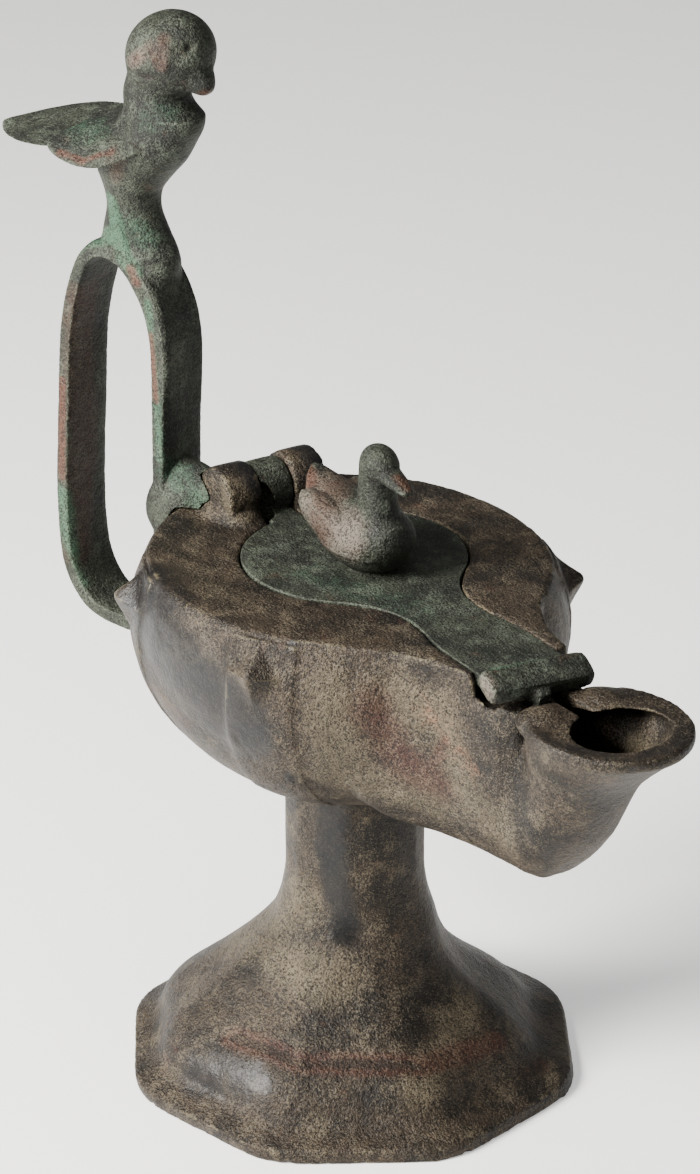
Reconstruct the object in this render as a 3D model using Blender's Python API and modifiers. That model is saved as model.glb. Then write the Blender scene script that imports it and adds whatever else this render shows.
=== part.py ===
"""Bronze oil lamp: eight-sided bell foot, pear-shaped bowl with a flared spout, a hinged lid with a
duck, and a looped handle that carries a large bird.

Metres, +Z up. The spout points along +X and the lamp stands on the flange of its foot. Everything is
modelled about the foot's own axis, and the last step sets the origin under the middle of the whole.
"""
import math

import bmesh
import bpy
from mathutils import Matrix, Vector

# Fits and walls
GAP = 0.0003
WALL = 0.0030
PLATE = 0.0030

# Foot: an octagon whose size is given to its corners
FLANGE_RADIUS = 0.0500
FLANGE_EDGE = 0.0028
SKIRT_RADIUS = 0.0430
SKIRT_Z = 0.0055
SHOULDER_RADIUS = 0.0336
SHOULDER_Z = 0.0165
STEM_RADIUS = 0.0157
STEM_Z = 0.0450
FOOT_TURN = math.radians(-10.5)
FOOT_HOLLOW_Z = 0.0560
BELL_LEAN = 0.0032
BELL_LEAN_HEIGHT = 0.0340

# Bowl: a flattened ball cut off by its flat top
BOWL_RADIUS = 0.0478
BOWL_SIDE = 0.91
BOWL_Y = -0.0012
BOWL_DEPTH = 0.0356
BOWL_Z = 0.1020
TOP_Z = 0.1162

# Nose: the neck that runs from the bowl to the spout
NECK_HALF = 0.0115
NECK_BULGE = 1.07
NOSE_TOUCH = 0.0345
NOSE_END = 0.0690
STEP_X = 0.0585
STEP_Z = 0.1112
KEEL_START_Z = 0.0690
KEEL_END_Z = 0.0726
NOSE_SKEW = 0.030
NOSE_TAPER = 0.26

# Spout
MOUTH_X = 0.0846
MOUTH_LENGTH = 0.0175
MOUTH_WIDTH = 0.0156
MOUTH_Z = 0.1126
LIP_EDGE = 0.0022
LIP_WIDTH = 0.0052
LIP_REAR = 0.0122
SPOUT_BOTTOM_Z = 0.0718
SPOUT_BOTTOM_X = 0.0630
WICK_SLOT_WIDTH = 0.0038
WICK_SLOT_Y = -0.0012
WICK_SLOT_END_X = 0.0640
LOBE_RADIUS = 0.0057

# Strips and studs on the bowl
STUD_ANGLES = (60.0, 120.0, 240.0, 300.0)
STUD_Z = 0.1084
STUD_HEIGHT = 0.0048
STUD_HALF = 0.0060
STRIP_WIDTH = 0.0150
STRIP_RISE = 0.0005

# Hinge
HINGE_INSET = 0.0158
HINGE_X = HINGE_INSET - BOWL_RADIUS
HINGE_Y = -0.0006
HINGE_Z = 0.1200
LUG_RADIUS = 0.0066
LUG_WIDTH = 0.0080
KNUCKLE_WIDTH = 0.0072
KNUCKLE_RADIUS = 0.0060
PIN_RADIUS = 0.0015
PIN_CLEARANCE = 0.00005
PIN_LENGTH = 0.0170

# Lid, measured forward from the hinge axis
LID_TURN = math.radians(-3.0)
LID_THICKNESS = 0.0026
DISC_X = 0.0320
DISC_Y = 0.0022
DISC_RADIUS = 0.0232
WAIST_X = 0.0655
WAIST_HALF = 0.0075
TONGUE_HALF = 0.0093
TONGUE_X = 0.0800
LID_END_X = 0.0965
BAR_LENGTH = 0.0232
BAR_WIDTH = 0.0068
BAR_THICKNESS = 0.0042
BAR_TILT = math.radians(24.0)
BAR_TURN = math.radians(-4.0)
BAR_ROLL = math.radians(-2.5)
PRONG_WIDTH = 0.0030
PRONG_DROP = 0.0046

# Duck on the lid
DUCK_X = 0.0330
DUCK_LENGTH = 0.0320
DUCK_HEIGHT = 0.0276

# Handle, in an upright plane through the foot's axis
HANDLE_TURN = math.radians(15.0)
STRAP_WIDTH = 0.0122
STRAP_THICKNESS = 0.0036
SWELL = 0.75
SWELL_RUN = 0.0480
LIMB_GAP = 0.0007
LOOP_SPAN = 0.0273
FRONT_LIMB_R = BOWL_RADIUS + LIMB_GAP
BACK_LIMB_R = FRONT_LIMB_R + LOOP_SPAN
LOOP_TOP_Z = 0.1688
LOOP_BOTTOM_Z = 0.0836
POST_SETBACK = 0.0106
POST_R = FRONT_LIMB_R + POST_SETBACK
WAIST_Z = 0.1775
WAIST_RADIUS = 0.0056
BIRD_TOP_Z = 0.2220
TAIL_LENGTH = 0.0362
TAIL_TIP_R = POST_R + TAIL_LENGTH
TAIL_HALF = 0.0108
TAIL_ROLL = math.radians(-11.0)
WING_ROLL = math.radians(-26.0)

# How finely round shapes are divided
BOWL_SIDES = 32
RING_SIDES = 20
SPOUT_SIDES = 24


def clear_scene():
    """Removes whatever the file holds."""
    for item in list(bpy.data.objects):
        bpy.data.objects.remove(item, do_unlink=True)


def new_collection(name):
    collection = bpy.data.collections.new(name)
    bpy.context.scene.collection.children.link(collection)
    return collection


def bronze(name, colour, roughness, metallic):
    """A plain bronze: its colour, roughness and metallic value."""
    material = bpy.data.materials.new(name)
    material.use_nodes = True
    shader = material.node_tree.nodes["Principled BSDF"]
    shader.inputs["Base Color"].default_value = (*colour, 1.0)
    shader.inputs["Roughness"].default_value = roughness
    shader.inputs["Metallic"].default_value = metallic
    material.diffuse_color = (*colour, 1.0)
    return material


def mesh_object(name, mesh, collection):
    item = bpy.data.objects.new(name, mesh)
    collection.objects.link(item)
    return item


def bmesh_object(name, shape, collection):
    """Turns a bmesh into an object and frees it."""
    mesh = bpy.data.meshes.new(name)
    shape.to_mesh(mesh)
    shape.free()
    return mesh_object(name, mesh, collection)


def as_tool(item):
    """Marks an object that only cuts or joins another."""
    item.hide_render = True
    item.display_type = "WIRE"
    return item


def combine(target, tools, operation):
    """Adds one exact Boolean for each tool."""
    for tool in tools:
        modifier = target.modifiers.new(tool.name, "BOOLEAN")
        modifier.operation = operation
        modifier.solver = "EXACT"
        modifier.object = tool


def bezier(start, pull_start, pull_end, end, count):
    """Points on a cubic curve in a plane, without its last point."""
    points = []
    for step in range(count):
        t = step / count
        s = 1.0 - t
        weights = (s * s * s, 3 * s * s * t, 3 * s * t * t, t * t * t)
        corners = (start, pull_start, pull_end, end)
        points.append(tuple(sum(w * c[axis] for w, c in zip(weights, corners)) for axis in (0, 1)))
    return points


def smooth_path(stations, per_span):
    """Catmull-Rom points through stations of any dimension, ends included."""
    points = []
    for index in range(len(stations) - 1):
        before = stations[max(index - 1, 0)]
        start, end = stations[index], stations[index + 1]
        after = stations[min(index + 2, len(stations) - 1)]
        for step in range(per_span):
            t = step / per_span
            points.append(tuple(
                0.5 * (2 * b + (c - a) * t + (2 * a - 5 * b + 4 * c - d) * t * t
                       + (3 * b - a - 3 * c + d) * t ** 3)
                for a, b, c, d in zip(before, start, end, after)))
    points.append(tuple(stations[-1]))
    return points


def loft(name, rings, collection):
    """A closed body through rings with as many points each; both ends are closed by a flat face."""
    shape = bmesh.new()
    rows = [[shape.verts.new(point) for point in ring] for ring in rings]
    count = len(rows[0])
    for low, high in zip(rows, rows[1:]):
        for index in range(count):
            after = (index + 1) % count
            shape.faces.new((low[index], low[after], high[after], high[index]))
    shape.faces.new(list(reversed(rows[0])))
    shape.faces.new(rows[-1])
    bmesh.ops.recalc_face_normals(shape, faces=shape.faces[:])
    return bmesh_object(name, shape, collection)


def oval(centre, half_a, half_b, sides=RING_SIDES):
    """Points of an ellipse given by its centre and its two half axes as vectors."""
    points = []
    for index in range(sides):
        angle = 2 * math.pi * index / sides
        points.append(centre + half_a * math.cos(angle) + half_b * math.sin(angle))
    return points


def ball(name, centre, halves, turn, collection, segments=20, rows=10):
    """A sphere stretched to three half lengths and turned about its own middle."""
    shape = bmesh.new()
    bmesh.ops.create_uvsphere(shape, u_segments=segments, v_segments=rows, radius=1.0)
    place = Matrix.Translation(centre) @ turn @ Matrix.Diagonal((*halves, 1.0))
    bmesh.ops.transform(shape, matrix=place, verts=shape.verts[:])
    return bmesh_object(name, shape, collection)


def block(name, centre, sizes, turn, collection, rounding=0.0):
    """A box with its own turn and, if asked, rounded edges."""
    shape = bmesh.new()
    bmesh.ops.create_cube(shape, size=1.0)
    bmesh.ops.transform(shape, matrix=Matrix.Diagonal((*sizes, 1.0)), verts=shape.verts[:])
    if rounding:
        bmesh.ops.bevel(shape, geom=shape.edges[:], offset=rounding, segments=2, profile=0.5,
                        affect="EDGES")
    bmesh.ops.transform(shape, matrix=Matrix.Translation(centre) @ turn, verts=shape.verts[:])
    return bmesh_object(name, shape, collection)


def rod(name, centre, radius, length, sides, collection):
    """A round bar along Y."""
    shape = bmesh.new()
    bmesh.ops.create_cone(shape, cap_ends=True, segments=sides, radius1=radius, radius2=radius,
                          depth=length)
    place = Matrix.Translation(centre) @ Matrix.Rotation(math.pi / 2, 4, "X")
    bmesh.ops.transform(shape, matrix=place, verts=shape.verts[:])
    return bmesh_object(name, shape, collection)


def turned(name, profile, sides, collection):
    """A profile in the XZ plane, listed from top to bottom, turned about the Z axis."""
    mesh = bpy.data.meshes.new(name)
    vertices = [(radius, 0.0, height) for radius, height in profile]
    edges = [(index, index + 1) for index in range(len(vertices) - 1)]
    mesh.from_pydata(vertices, edges, [])
    item = mesh_object(name, mesh, collection)
    screw = item.modifiers.new("Turn", "SCREW")
    screw.steps = sides
    screw.render_steps = sides
    screw.use_merge_vertices = True
    screw.merge_threshold = 0.00001
    return item


def flat_piece(name, outline, thickness, top_z, collection):
    """A flat outline made solid, with its top at a height."""
    rings = []
    for height in (top_z - thickness, top_z):
        rings.append([Vector((x, y, height)) for x, y in outline])
    return loft(name, rings, collection)


# Foot


def bell_profile():
    """Corner radius and height of the bell, from the skirt up to the stem."""
    skirt = (SKIRT_RADIUS, SKIRT_Z)
    shoulder = (SHOULDER_RADIUS, SHOULDER_Z)
    stem = (STEM_RADIUS, STEM_Z)
    skirt_rise = SHOULDER_Z - SKIRT_Z
    neck_run = SHOULDER_RADIUS - STEM_RADIUS
    neck_rise = STEM_Z - SHOULDER_Z
    skirt_run = SKIRT_RADIUS - SHOULDER_RADIUS
    lower = bezier(skirt, (SKIRT_RADIUS - 0.06 * skirt_run, SKIRT_Z + 0.42 * skirt_rise),
                   (SHOULDER_RADIUS + 0.48 * skirt_run, SHOULDER_Z - 0.28 * skirt_rise), shoulder, 4)
    upper = bezier(shoulder, (SHOULDER_RADIUS - 0.42 * neck_run, SHOULDER_Z + 0.21 * neck_rise),
                   (STEM_RADIUS + 0.07 * neck_run, SHOULDER_Z + 0.48 * neck_rise), stem, 7)
    return lower + upper + [stem]


def lean(height):
    """The bell bulges a little to one side, because it was shaped by hand."""
    if height >= BELL_LEAN_HEIGHT:
        return Vector((0.0, 0.0, 0.0))
    push = BELL_LEAN * math.sin(math.pi * max(height, 0.0) / BELL_LEAN_HEIGHT)
    return Vector((-0.574, -0.819, 0.0)) * push


def octagon(radius, height, softness):
    """An eight-sided ring whose corners are cut back by a share of each side."""
    corners = []
    for index in range(8):
        angle = FOOT_TURN + index * math.pi / 4
        corners.append(Vector((radius * math.cos(angle), radius * math.sin(angle), height)))
    points = []
    for index, corner in enumerate(corners):
        before = corners[index - 1]
        after = corners[(index + 1) % 8]
        points.append(corner.lerp(before, softness) + lean(height))
        points.append(corner.lerp(after, softness) + lean(height))
    return points


def foot_rings():
    """Rings of the foot from the flange to inside the bowl."""
    stem_top = BOWL_Z - BOWL_DEPTH + WALL
    rings = [octagon(FLANGE_RADIUS, 0.0, 0.10), octagon(FLANGE_RADIUS, FLANGE_EDGE, 0.10)]
    profile = bell_profile()
    for radius, height in profile:
        rise = (height - SKIRT_Z) / (STEM_Z - SKIRT_Z)
        rings.append(octagon(radius, height, 0.10 + 0.16 * rise))
    rings.append(octagon(STEM_RADIUS, stem_top, 0.27))
    return rings


def foot_hollow_rings():
    """Rings of the hollow under the foot, a wall inside the bell."""
    wall = WALL * 1.25
    rings = [octagon(SKIRT_RADIUS - wall, -GAP, 0.12)]
    for radius, height in bell_profile()[::2]:
        rise = (height - SKIRT_Z) / (STEM_Z - SKIRT_Z)
        rings.append(octagon(radius - wall, height - 0.3 * wall, 0.12 + 0.14 * rise))
    rings.append(octagon(STEM_RADIUS - wall, STEM_Z, 0.27))
    rings.append(octagon(STEM_RADIUS - wall, FOOT_HOLLOW_Z - wall, 0.27))
    rings.append(octagon((STEM_RADIUS - wall) * 0.55, FOOT_HOLLOW_Z, 0.27))
    return rings


# Bowl and nose


def bowl_solid(name, grow, top_z, collection):
    """The bowl's ball, grown by a distance and cut off flat at a height."""
    radius = BOWL_RADIUS + grow
    depth = BOWL_DEPTH + grow
    start = math.asin(min(0.99, (top_z - BOWL_Z) / depth))
    profile = [(0.0, top_z)]
    rows = 12
    for row in range(rows):
        angle = start - (start + math.pi / 2) * row / rows
        profile.append((radius * math.cos(angle), BOWL_Z + depth * math.sin(angle)))
    profile.append((0.0, BOWL_Z - depth))
    ball_item = turned(name, profile, BOWL_SIDES, collection)
    side = (BOWL_RADIUS * BOWL_SIDE + grow) / radius
    ball_item.matrix_world = Matrix.Translation((0.0, BOWL_Y, 0.0)) @ Matrix.Diagonal((1.0, side, 1.0, 1.0))
    return ball_item


def rim_share():
    """Size of the flat top as a share of the bowl's widest level."""
    return math.sqrt(1.0 - ((TOP_Z - BOWL_Z) / BOWL_DEPTH) ** 2)


def rim_half(x):
    """Half width of the flat top's oval at a distance forward of its middle."""
    length = BOWL_RADIUS * rim_share()
    return length * BOWL_SIDE * math.sqrt(max(0.0, 1.0 - (x / length) ** 2))


def nose_half(x):
    """Half width of the nose at the top: it leaves the rim's oval on a concave arc."""
    touch = rim_half(NOSE_TOUCH)
    if x <= NOSE_TOUCH:
        return touch
    length = BOWL_RADIUS * rim_share()
    slope = math.atan((length * BOWL_SIDE) ** 2 * NOSE_TOUCH / (length ** 2 * touch))
    fillet = (touch - NECK_HALF) / (1.0 - math.cos(slope))
    straight = NOSE_TOUCH + fillet * math.sin(slope)
    back = max(0.0, straight - x)
    return NECK_HALF + fillet - math.sqrt(fillet ** 2 - back ** 2)


def nose_section(x, wall):
    """An upright section of the nose: flat top, swelling sides and a round keel."""
    top = TOP_Z if x <= STEP_X else STEP_Z
    if wall:
        top -= PLATE
    keel = KEEL_START_Z + (KEEL_END_Z - KEEL_START_Z) * max(x, 0.0) / NOSE_END + wall
    taper = max(0.0, (x - STEP_X) / (NOSE_END - STEP_X))
    half = nose_half(x) * (1.0 - NOSE_TAPER * taper ** 1.4) - wall
    middle = half * NECK_BULGE
    centre_y = BOWL_Y - NOSE_SKEW * min(x, NOSE_TOUCH)
    side = [(half, top), ((half + middle) / 2, (top + BOWL_Z) / 2)]
    for step in range(7):
        angle = math.pi / 2 * step / 6
        side.append((middle * math.cos(angle), BOWL_Z - (BOWL_Z - keel) * math.sin(angle)))
    left = [Vector((x, centre_y - y, z)) for y, z in side]
    right = [Vector((x, centre_y + y, z)) for y, z in side[:-1]]
    return left + right[::-1]


def nose_solid(name, wall, collection):
    """The nose from under the middle of the bowl to inside the spout."""
    end = NOSE_END - wall
    shares = (0.0, 0.30, 0.62, 0.75, 0.87)
    stations = [NOSE_TOUCH * 0.5, NOSE_TOUCH]
    stations += [NOSE_TOUCH + (STEP_X - NOSE_TOUCH) * share for share in shares[1:]]
    stations += [STEP_X, STEP_X + 0.001, (STEP_X + end) / 2 + 0.001, end - 0.002, end]
    return loft(name, [nose_section(x, wall) for x in stations], collection)


# Spout


def spout_stations():
    """Height, middle, half length and half width of the spout, from its bottom to under the lip."""
    rise = MOUTH_Z - SPOUT_BOTTOM_Z
    run = MOUTH_X - SPOUT_BOTTOM_X
    shares = ((0.00, 0.00, 0.10), (0.022, 0.03, 0.29), (0.08, 0.08, 0.46), (0.18, 0.165, 0.61),
              (0.33, 0.30, 0.715), (0.45, 0.41, 0.725), (0.61, 0.575, 0.72), (0.69, 0.67, 0.735),
              (0.79, 0.79, 0.845), (0.89, 0.92, 0.965))
    stations = []
    for height, forward, size in shares:
        stations.append((SPOUT_BOTTOM_Z + rise * height, SPOUT_BOTTOM_X + run * forward, size))
    return stations


def spout_ring(height, middle, half_length, half_width):
    return oval(Vector((middle, 0.0, height)), Vector((half_length, 0.0, 0.0)),
                Vector((0.0, half_width, 0.0)), SPOUT_SIDES)


def spout_solid(name, collection):
    """The outside of the spout, up to its flared lip."""
    rings = []
    for height, middle, size in spout_stations():
        width = size * MOUTH_WIDTH
        rings.append(spout_ring(height, middle, max(size * MOUTH_LENGTH * 0.94, width), width))
    rings.append(spout_ring(MOUTH_Z - LIP_EDGE, MOUTH_X, MOUTH_LENGTH, MOUTH_WIDTH))
    rings.append(spout_ring(MOUTH_Z, MOUTH_X, MOUTH_LENGTH, MOUTH_WIDTH))
    return loft(name, rings, collection)


def spout_hollow(name, collection):
    """The inside of the spout, open through its mouth."""
    rings = []
    for height, middle, size in spout_stations()[3:]:
        half_width = size * MOUTH_WIDTH - WALL
        half_length = size * MOUTH_LENGTH * 0.94 - WALL
        rings.append(spout_ring(height + WALL * 0.6, middle, half_length, half_width))
    mouth_length = MOUTH_LENGTH - (LIP_WIDTH + LIP_REAR) / 2
    mouth_x = MOUTH_X + (LIP_REAR - LIP_WIDTH) / 2
    mouth_width = MOUTH_WIDTH - LIP_WIDTH
    rings.append(spout_ring(MOUTH_Z - GAP, mouth_x, mouth_length, mouth_width))
    rings.append(spout_ring(MOUTH_Z + LIP_EDGE * 3, mouth_x, mouth_length, mouth_width))
    return loft(name, rings, collection)


# Strips, studs and lugs


def wall_at(height, angle=180.0):
    """Radius and upward tilt of the bowl's wall at a height, in a direction given in degrees."""
    turn = math.radians(angle)
    full = BOWL_RADIUS * BOWL_SIDE / math.hypot(BOWL_SIDE * math.cos(turn), math.sin(turn))
    offset = height - BOWL_Z
    radius = full * math.sqrt(max(0.05, 1.0 - (offset / BOWL_DEPTH) ** 2))
    tilt = math.atan2(offset * full ** 2, radius * BOWL_DEPTH ** 2)
    return radius, tilt


def strip_and_stud(angle, collection):
    """A raised strip down the bowl's side, and the four-sided stud on it."""
    spin = Matrix.Rotation(math.radians(angle), 4, "Z")
    radius, tilt = wall_at(STUD_Z, angle)
    label = str(int(angle))
    strip = bowl_solid("strip_ball_" + label, STRIP_RISE, TOP_Z - 2 * STRIP_RISE, collection)
    slab_reach = BOWL_RADIUS + STUD_HEIGHT
    slab_bottom = BOWL_Z - BOWL_DEPTH * 0.86
    slab_centre = spin @ Vector((slab_reach * 0.75, 0.0, (TOP_Z + slab_bottom) / 2))
    slab = block("strip_slab_" + label, slab_centre, (slab_reach, STRIP_WIDTH, TOP_Z - slab_bottom),
                 spin, collection)
    combine(strip, [as_tool(slab)], "INTERSECT")

    shape = bmesh.new()
    sunk = STUD_HEIGHT * 0.25
    slope = STUD_HALF / STUD_HEIGHT
    bmesh.ops.create_cone(shape, cap_ends=True, segments=4, radius1=STUD_HALF + sunk * slope,
                          radius2=STUD_HALF * 0.06, depth=STUD_HEIGHT + sunk)
    lift = Matrix.Translation((0.0, 0.0, (STUD_HEIGHT - sunk) / 2))
    outward = Matrix.Rotation(math.pi / 2 - tilt, 4, "Y")
    on_wall = Matrix.Translation((0.0, BOWL_Y, 0.0)) @ spin @ Matrix.Translation((radius, 0.0, STUD_Z))
    bmesh.ops.transform(shape, matrix=on_wall @ outward @ lift, verts=shape.verts[:])
    stud = bmesh_object("stud_" + label, shape, collection)
    return [as_tool(strip), as_tool(stud)]


def lug_offset():
    """Sideways distance from the middle of the hinge to the middle of a lug."""
    return KNUCKLE_WIDTH / 2 + GAP + LUG_WIDTH / 2


def lug_solids(side, grow, collection):
    """One hinge lug, a round top on a straight root, or a copy grown by a clearance."""
    label = ("near" if side < 0 else "far") + ("_grown" if grow else "")
    middle = hinge_frame() @ Vector((0.0, side * lug_offset(), 0.0))
    width = LUG_WIDTH + 2 * grow
    top = rod("lug_top_" + label, Vector(), LUG_RADIUS + grow, width, 22, collection)
    top.matrix_world = Matrix.Translation(middle) @ Matrix.Rotation(LID_TURN, 4, "Z")
    root_height = HINGE_Z - TOP_Z + PLATE
    root = block("lug_root_" + label, Vector((0.0, 0.0, -root_height / 2)),
                 (2 * (LUG_RADIUS + grow) * 0.98, width * 0.995, root_height), Matrix(), collection)
    root.matrix_world = top.matrix_world.copy()
    low = Vector((0.0008, side * LUG_WIDTH * 0.10, -root_height + PLATE * 0.9))
    halves = (LUG_RADIUS * 1.34 + grow, LUG_WIDTH * 0.72 + grow, LUG_RADIUS * 0.60 + grow)
    spread = ball("lug_spread_" + label, low, halves, Matrix(), collection, 12, 6)
    spread.matrix_world = top.matrix_world @ spread.matrix_world
    return [as_tool(top), as_tool(root), as_tool(spread)]


def hinge_frame():
    """Place and turn of the hinge axis; +X runs along the lid and +Y along the pin."""
    place = Matrix.Translation((HINGE_X, HINGE_Y, HINGE_Z))
    return place @ Matrix.Rotation(LID_TURN, 4, "Z")


# Lid outline


def lid_half(x):
    """Half width of the lid: a disc, a waist and a broader tongue."""
    run = WAIST_X - DISC_X
    fillet = (run ** 2 + WAIST_HALF ** 2 - DISC_RADIUS ** 2) / (2 * (DISC_RADIUS - WAIST_HALF))
    touch = run * DISC_RADIUS / (DISC_RADIUS + fillet)
    along = x - DISC_X
    if along <= touch:
        return math.sqrt(max(0.0, DISC_RADIUS ** 2 - along ** 2))
    if along <= run:
        return WAIST_HALF + fillet - math.sqrt(fillet ** 2 - (run - along) ** 2)
    share = min(1.0, (x - WAIST_X) / (TONGUE_X - WAIST_X))
    return WAIST_HALF + (TONGUE_HALF - WAIST_HALF) * share * share * (3 - 2 * share)


def lid_outline(grow):
    """The lid's outline in its own frame, grown outward by a clearance."""
    start = max(LUG_RADIUS + 5 * GAP, DISC_X - 0.985 * DISC_RADIUS)
    rear = start - grow
    count = 28
    upper = []
    for step in range(count + 1):
        share = step / count
        x = rear + (TONGUE_X - rear) * (share - 0.06 * math.sin(2 * math.pi * share))
        upper.append((x, lid_half(max(x, start)) + grow))
    upper.append((LID_END_X + grow, TONGUE_HALF + grow))
    lower = [(x, DISC_Y - y) for x, y in reversed(upper)]
    return lower + [(x, DISC_Y + y) for x, y in upper]


def cross_bar(name, grow, collection):
    """The bar across the lid's front end, or a copy grown by a clearance, in the lid's frame."""
    drop = math.sin(BAR_TILT) * BAR_WIDTH / 2
    floor = TOP_Z - HINGE_Z
    centre = Vector((LID_END_X + BAR_WIDTH * 0.22, DISC_Y, floor - LID_THICKNESS * 0.56 + drop * 0.62))
    sizes = (BAR_WIDTH + 2 * grow, BAR_LENGTH + 2 * grow, BAR_THICKNESS + 2 * grow)
    rounding = 0.0 if grow else BAR_THICKNESS * 0.28
    level = Matrix.Rotation(BAR_TURN, 4, "Z") @ Matrix.Rotation(BAR_ROLL, 4, "X")
    turn = level @ Matrix.Rotation(BAR_TILT, 4, "Y")
    return block(name, centre, sizes, turn, collection, rounding)


def prong(name, grow, collection):
    """The short prong under the bar that drops between the curled ends of the lip."""
    length = BAR_WIDTH * 0.80
    height = TOP_Z - HINGE_Z - PRONG_DROP / 2 - GAP
    centre = Vector((LID_END_X + BAR_WIDTH * 0.52, WICK_SLOT_Y + DISC_Y, height))
    sizes = (length + 2 * grow, PRONG_WIDTH + 2 * grow, PRONG_DROP + 2 * grow)
    turn = Matrix.Rotation(BAR_TILT, 4, "Y")
    return block(name, centre, sizes, turn, collection, 0.0 if grow else 0.0006)


def lid_opening_tools(collection):
    """What is cut from the bowl for the lid, its knuckle and the pin."""
    frame = hinge_frame()
    drop = TOP_Z - HINGE_Z
    opening = flat_piece("lid_opening", lid_outline(GAP), 4 * PLATE, drop + 2 * PLATE, collection)
    opening.matrix_world = frame @ opening.matrix_world
    slot_front = LUG_RADIUS + DISC_RADIUS / 2
    slot_back = KNUCKLE_RADIUS + 4 * GAP
    slot = block("knuckle_slot", Vector(((slot_front - slot_back) / 2, 0.0, drop)),
                 (slot_front + slot_back, KNUCKLE_WIDTH + 2 * GAP, 3 * PLATE), Matrix(), collection)
    slot.matrix_world = frame
    bore = rod("pin_bore", Vector(), PIN_RADIUS + PIN_CLEARANCE, PIN_LENGTH + 2 * GAP, 20, collection)
    bore.matrix_world = frame
    seat = cross_bar("bar_seat", GAP, collection)
    seat.matrix_world = frame @ seat.matrix_world
    room = prong("prong_room", GAP, collection)
    room.matrix_world = frame @ room.matrix_world
    return [as_tool(opening), as_tool(slot), as_tool(bore), as_tool(seat), as_tool(room)]


def spout_top_tools(collection):
    """The slot for the wick between the two curled ends of the lip."""
    slot_length = MOUTH_X - WICK_SLOT_END_X
    slot = block("wick_slot", Vector((WICK_SLOT_END_X + slot_length / 2, WICK_SLOT_Y, MOUTH_Z)),
                 (slot_length, WICK_SLOT_WIDTH, 4 * PLATE), Matrix(), collection)
    return [as_tool(slot)]


def lobes(collection):
    """The two curled ends of the lip, either side of the wick slot."""
    made = []
    rear = MOUTH_X - MOUTH_LENGTH
    for side in (-1, 1):
        across = WICK_SLOT_Y + side * (WICK_SLOT_WIDTH / 2 + LOBE_RADIUS * 0.93)
        centre = Vector((rear + LOBE_RADIUS * 1.36, across, MOUTH_Z - LIP_EDGE * 0.75))
        lobe = ball("lobe_" + ("near" if side < 0 else "far"), centre,
                    (LOBE_RADIUS * 1.08, LOBE_RADIUS, LOBE_RADIUS * 0.56), Matrix(), collection, 16, 6)
        made.append(as_tool(lobe))
    return made


def make_lamp_body(parts, tools):
    """The main casting: foot, bowl, nose, spout, strips, studs and hinge lugs."""
    body = bowl_solid("lamp_body", 0.0, TOP_Z, parts)
    added = [as_tool(nose_solid("nose", 0.0, tools)), as_tool(loft("foot", foot_rings(), tools)),
             as_tool(spout_solid("spout", tools))]
    for angle in STUD_ANGLES:
        added += strip_and_stud(angle, tools)
    for side in (-1, 1):
        added += lug_solids(side, 0.0, tools)
    added += lobes(tools)
    combine(body, added, "UNION")
    removed = [as_tool(bowl_solid("bowl_hollow", -WALL, TOP_Z - PLATE, tools)),
               as_tool(nose_solid("nose_hollow", WALL, tools)),
               as_tool(spout_hollow("spout_hollow", tools)),
               as_tool(loft("foot_hollow", foot_hollow_rings(), tools))]
    removed += lid_opening_tools(tools)
    removed += spout_top_tools(tools)
    combine(body, removed, "DIFFERENCE")
    return body


# Lid


def duck_point(along, height):
    """A place on the duck as shares of its length and height, in the lid's frame."""
    floor = TOP_Z - HINGE_Z
    return Vector((DUCK_X + along * DUCK_LENGTH, DISC_Y, floor + height * DUCK_HEIGHT))


def duck(collection):
    """The duck: body, folded wings, neck, head and bill, all shares of its own size."""
    size = DUCK_LENGTH
    body_shares = ((-0.53, 0.50, 0.020, 0.025), (-0.47, 0.46, 0.090, 0.055), (-0.36, 0.37, 0.165, 0.105),
                   (-0.20, 0.28, 0.235, 0.170), (0.00, 0.235, 0.278, 0.215), (0.20, 0.23, 0.280, 0.225),
                   (0.36, 0.25, 0.225, 0.195), (0.46, 0.28, 0.140, 0.130), (0.50, 0.29, 0.040, 0.040))
    body_rings = []
    for along, height, half_width, half_height in body_shares:
        body_rings.append(oval(duck_point(along, height), Vector((0.0, half_width * size, 0.0)),
                               Vector((0.0, 0.0, half_height * size)), 16))
    made = [loft("duck_body", body_rings, collection)]
    for side in (-1, 1):
        centre = duck_point(-0.06, 0.285) + Vector((0.0, side * 0.165 * size, 0.0))
        turn = Matrix.Rotation(math.radians(11.0), 4, "Y") @ Matrix.Rotation(side * -0.42, 4, "X")
        made.append(ball("duck_wing_" + ("near" if side < 0 else "far"), centre,
                         (0.36 * size, 0.115 * size, 0.165 * size), turn, collection, 12, 6))
    neck_shares = ((0.22, 0.24, 0.215), (0.225, 0.40, 0.165), (0.235, 0.54, 0.136),
                   (0.24, 0.68, 0.128), (0.25, 0.82, 0.130))
    neck_rings = []
    for along, height, half in neck_shares:
        neck_rings.append(oval(duck_point(along, height), Vector((half * size * 1.1, 0.0, 0.0)),
                               Vector((0.0, half * size * 0.95, 0.0)), 12))
    made.append(loft("duck_neck", neck_rings, collection))
    made.append(ball("duck_head", duck_point(0.26, 0.845), (0.155 * size, 0.128 * size, 0.133 * size),
                     Matrix.Rotation(0.15, 4, "Y"), collection, 12, 7))
    bill_shares = ((0.30, 0.82, 0.100, 0.080), (0.42, 0.80, 0.080, 0.058), (0.54, 0.775, 0.066, 0.042),
                   (0.61, 0.755, 0.040, 0.024))
    bill_rings = []
    for along, height, half_width, half_height in bill_shares:
        bill_rings.append(oval(duck_point(along, height), Vector((0.0, half_width * size, 0.0)),
                               Vector((0.0, 0.0, half_height * size)), 12))
    made.append(loft("duck_bill", bill_rings, collection))
    return made


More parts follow.
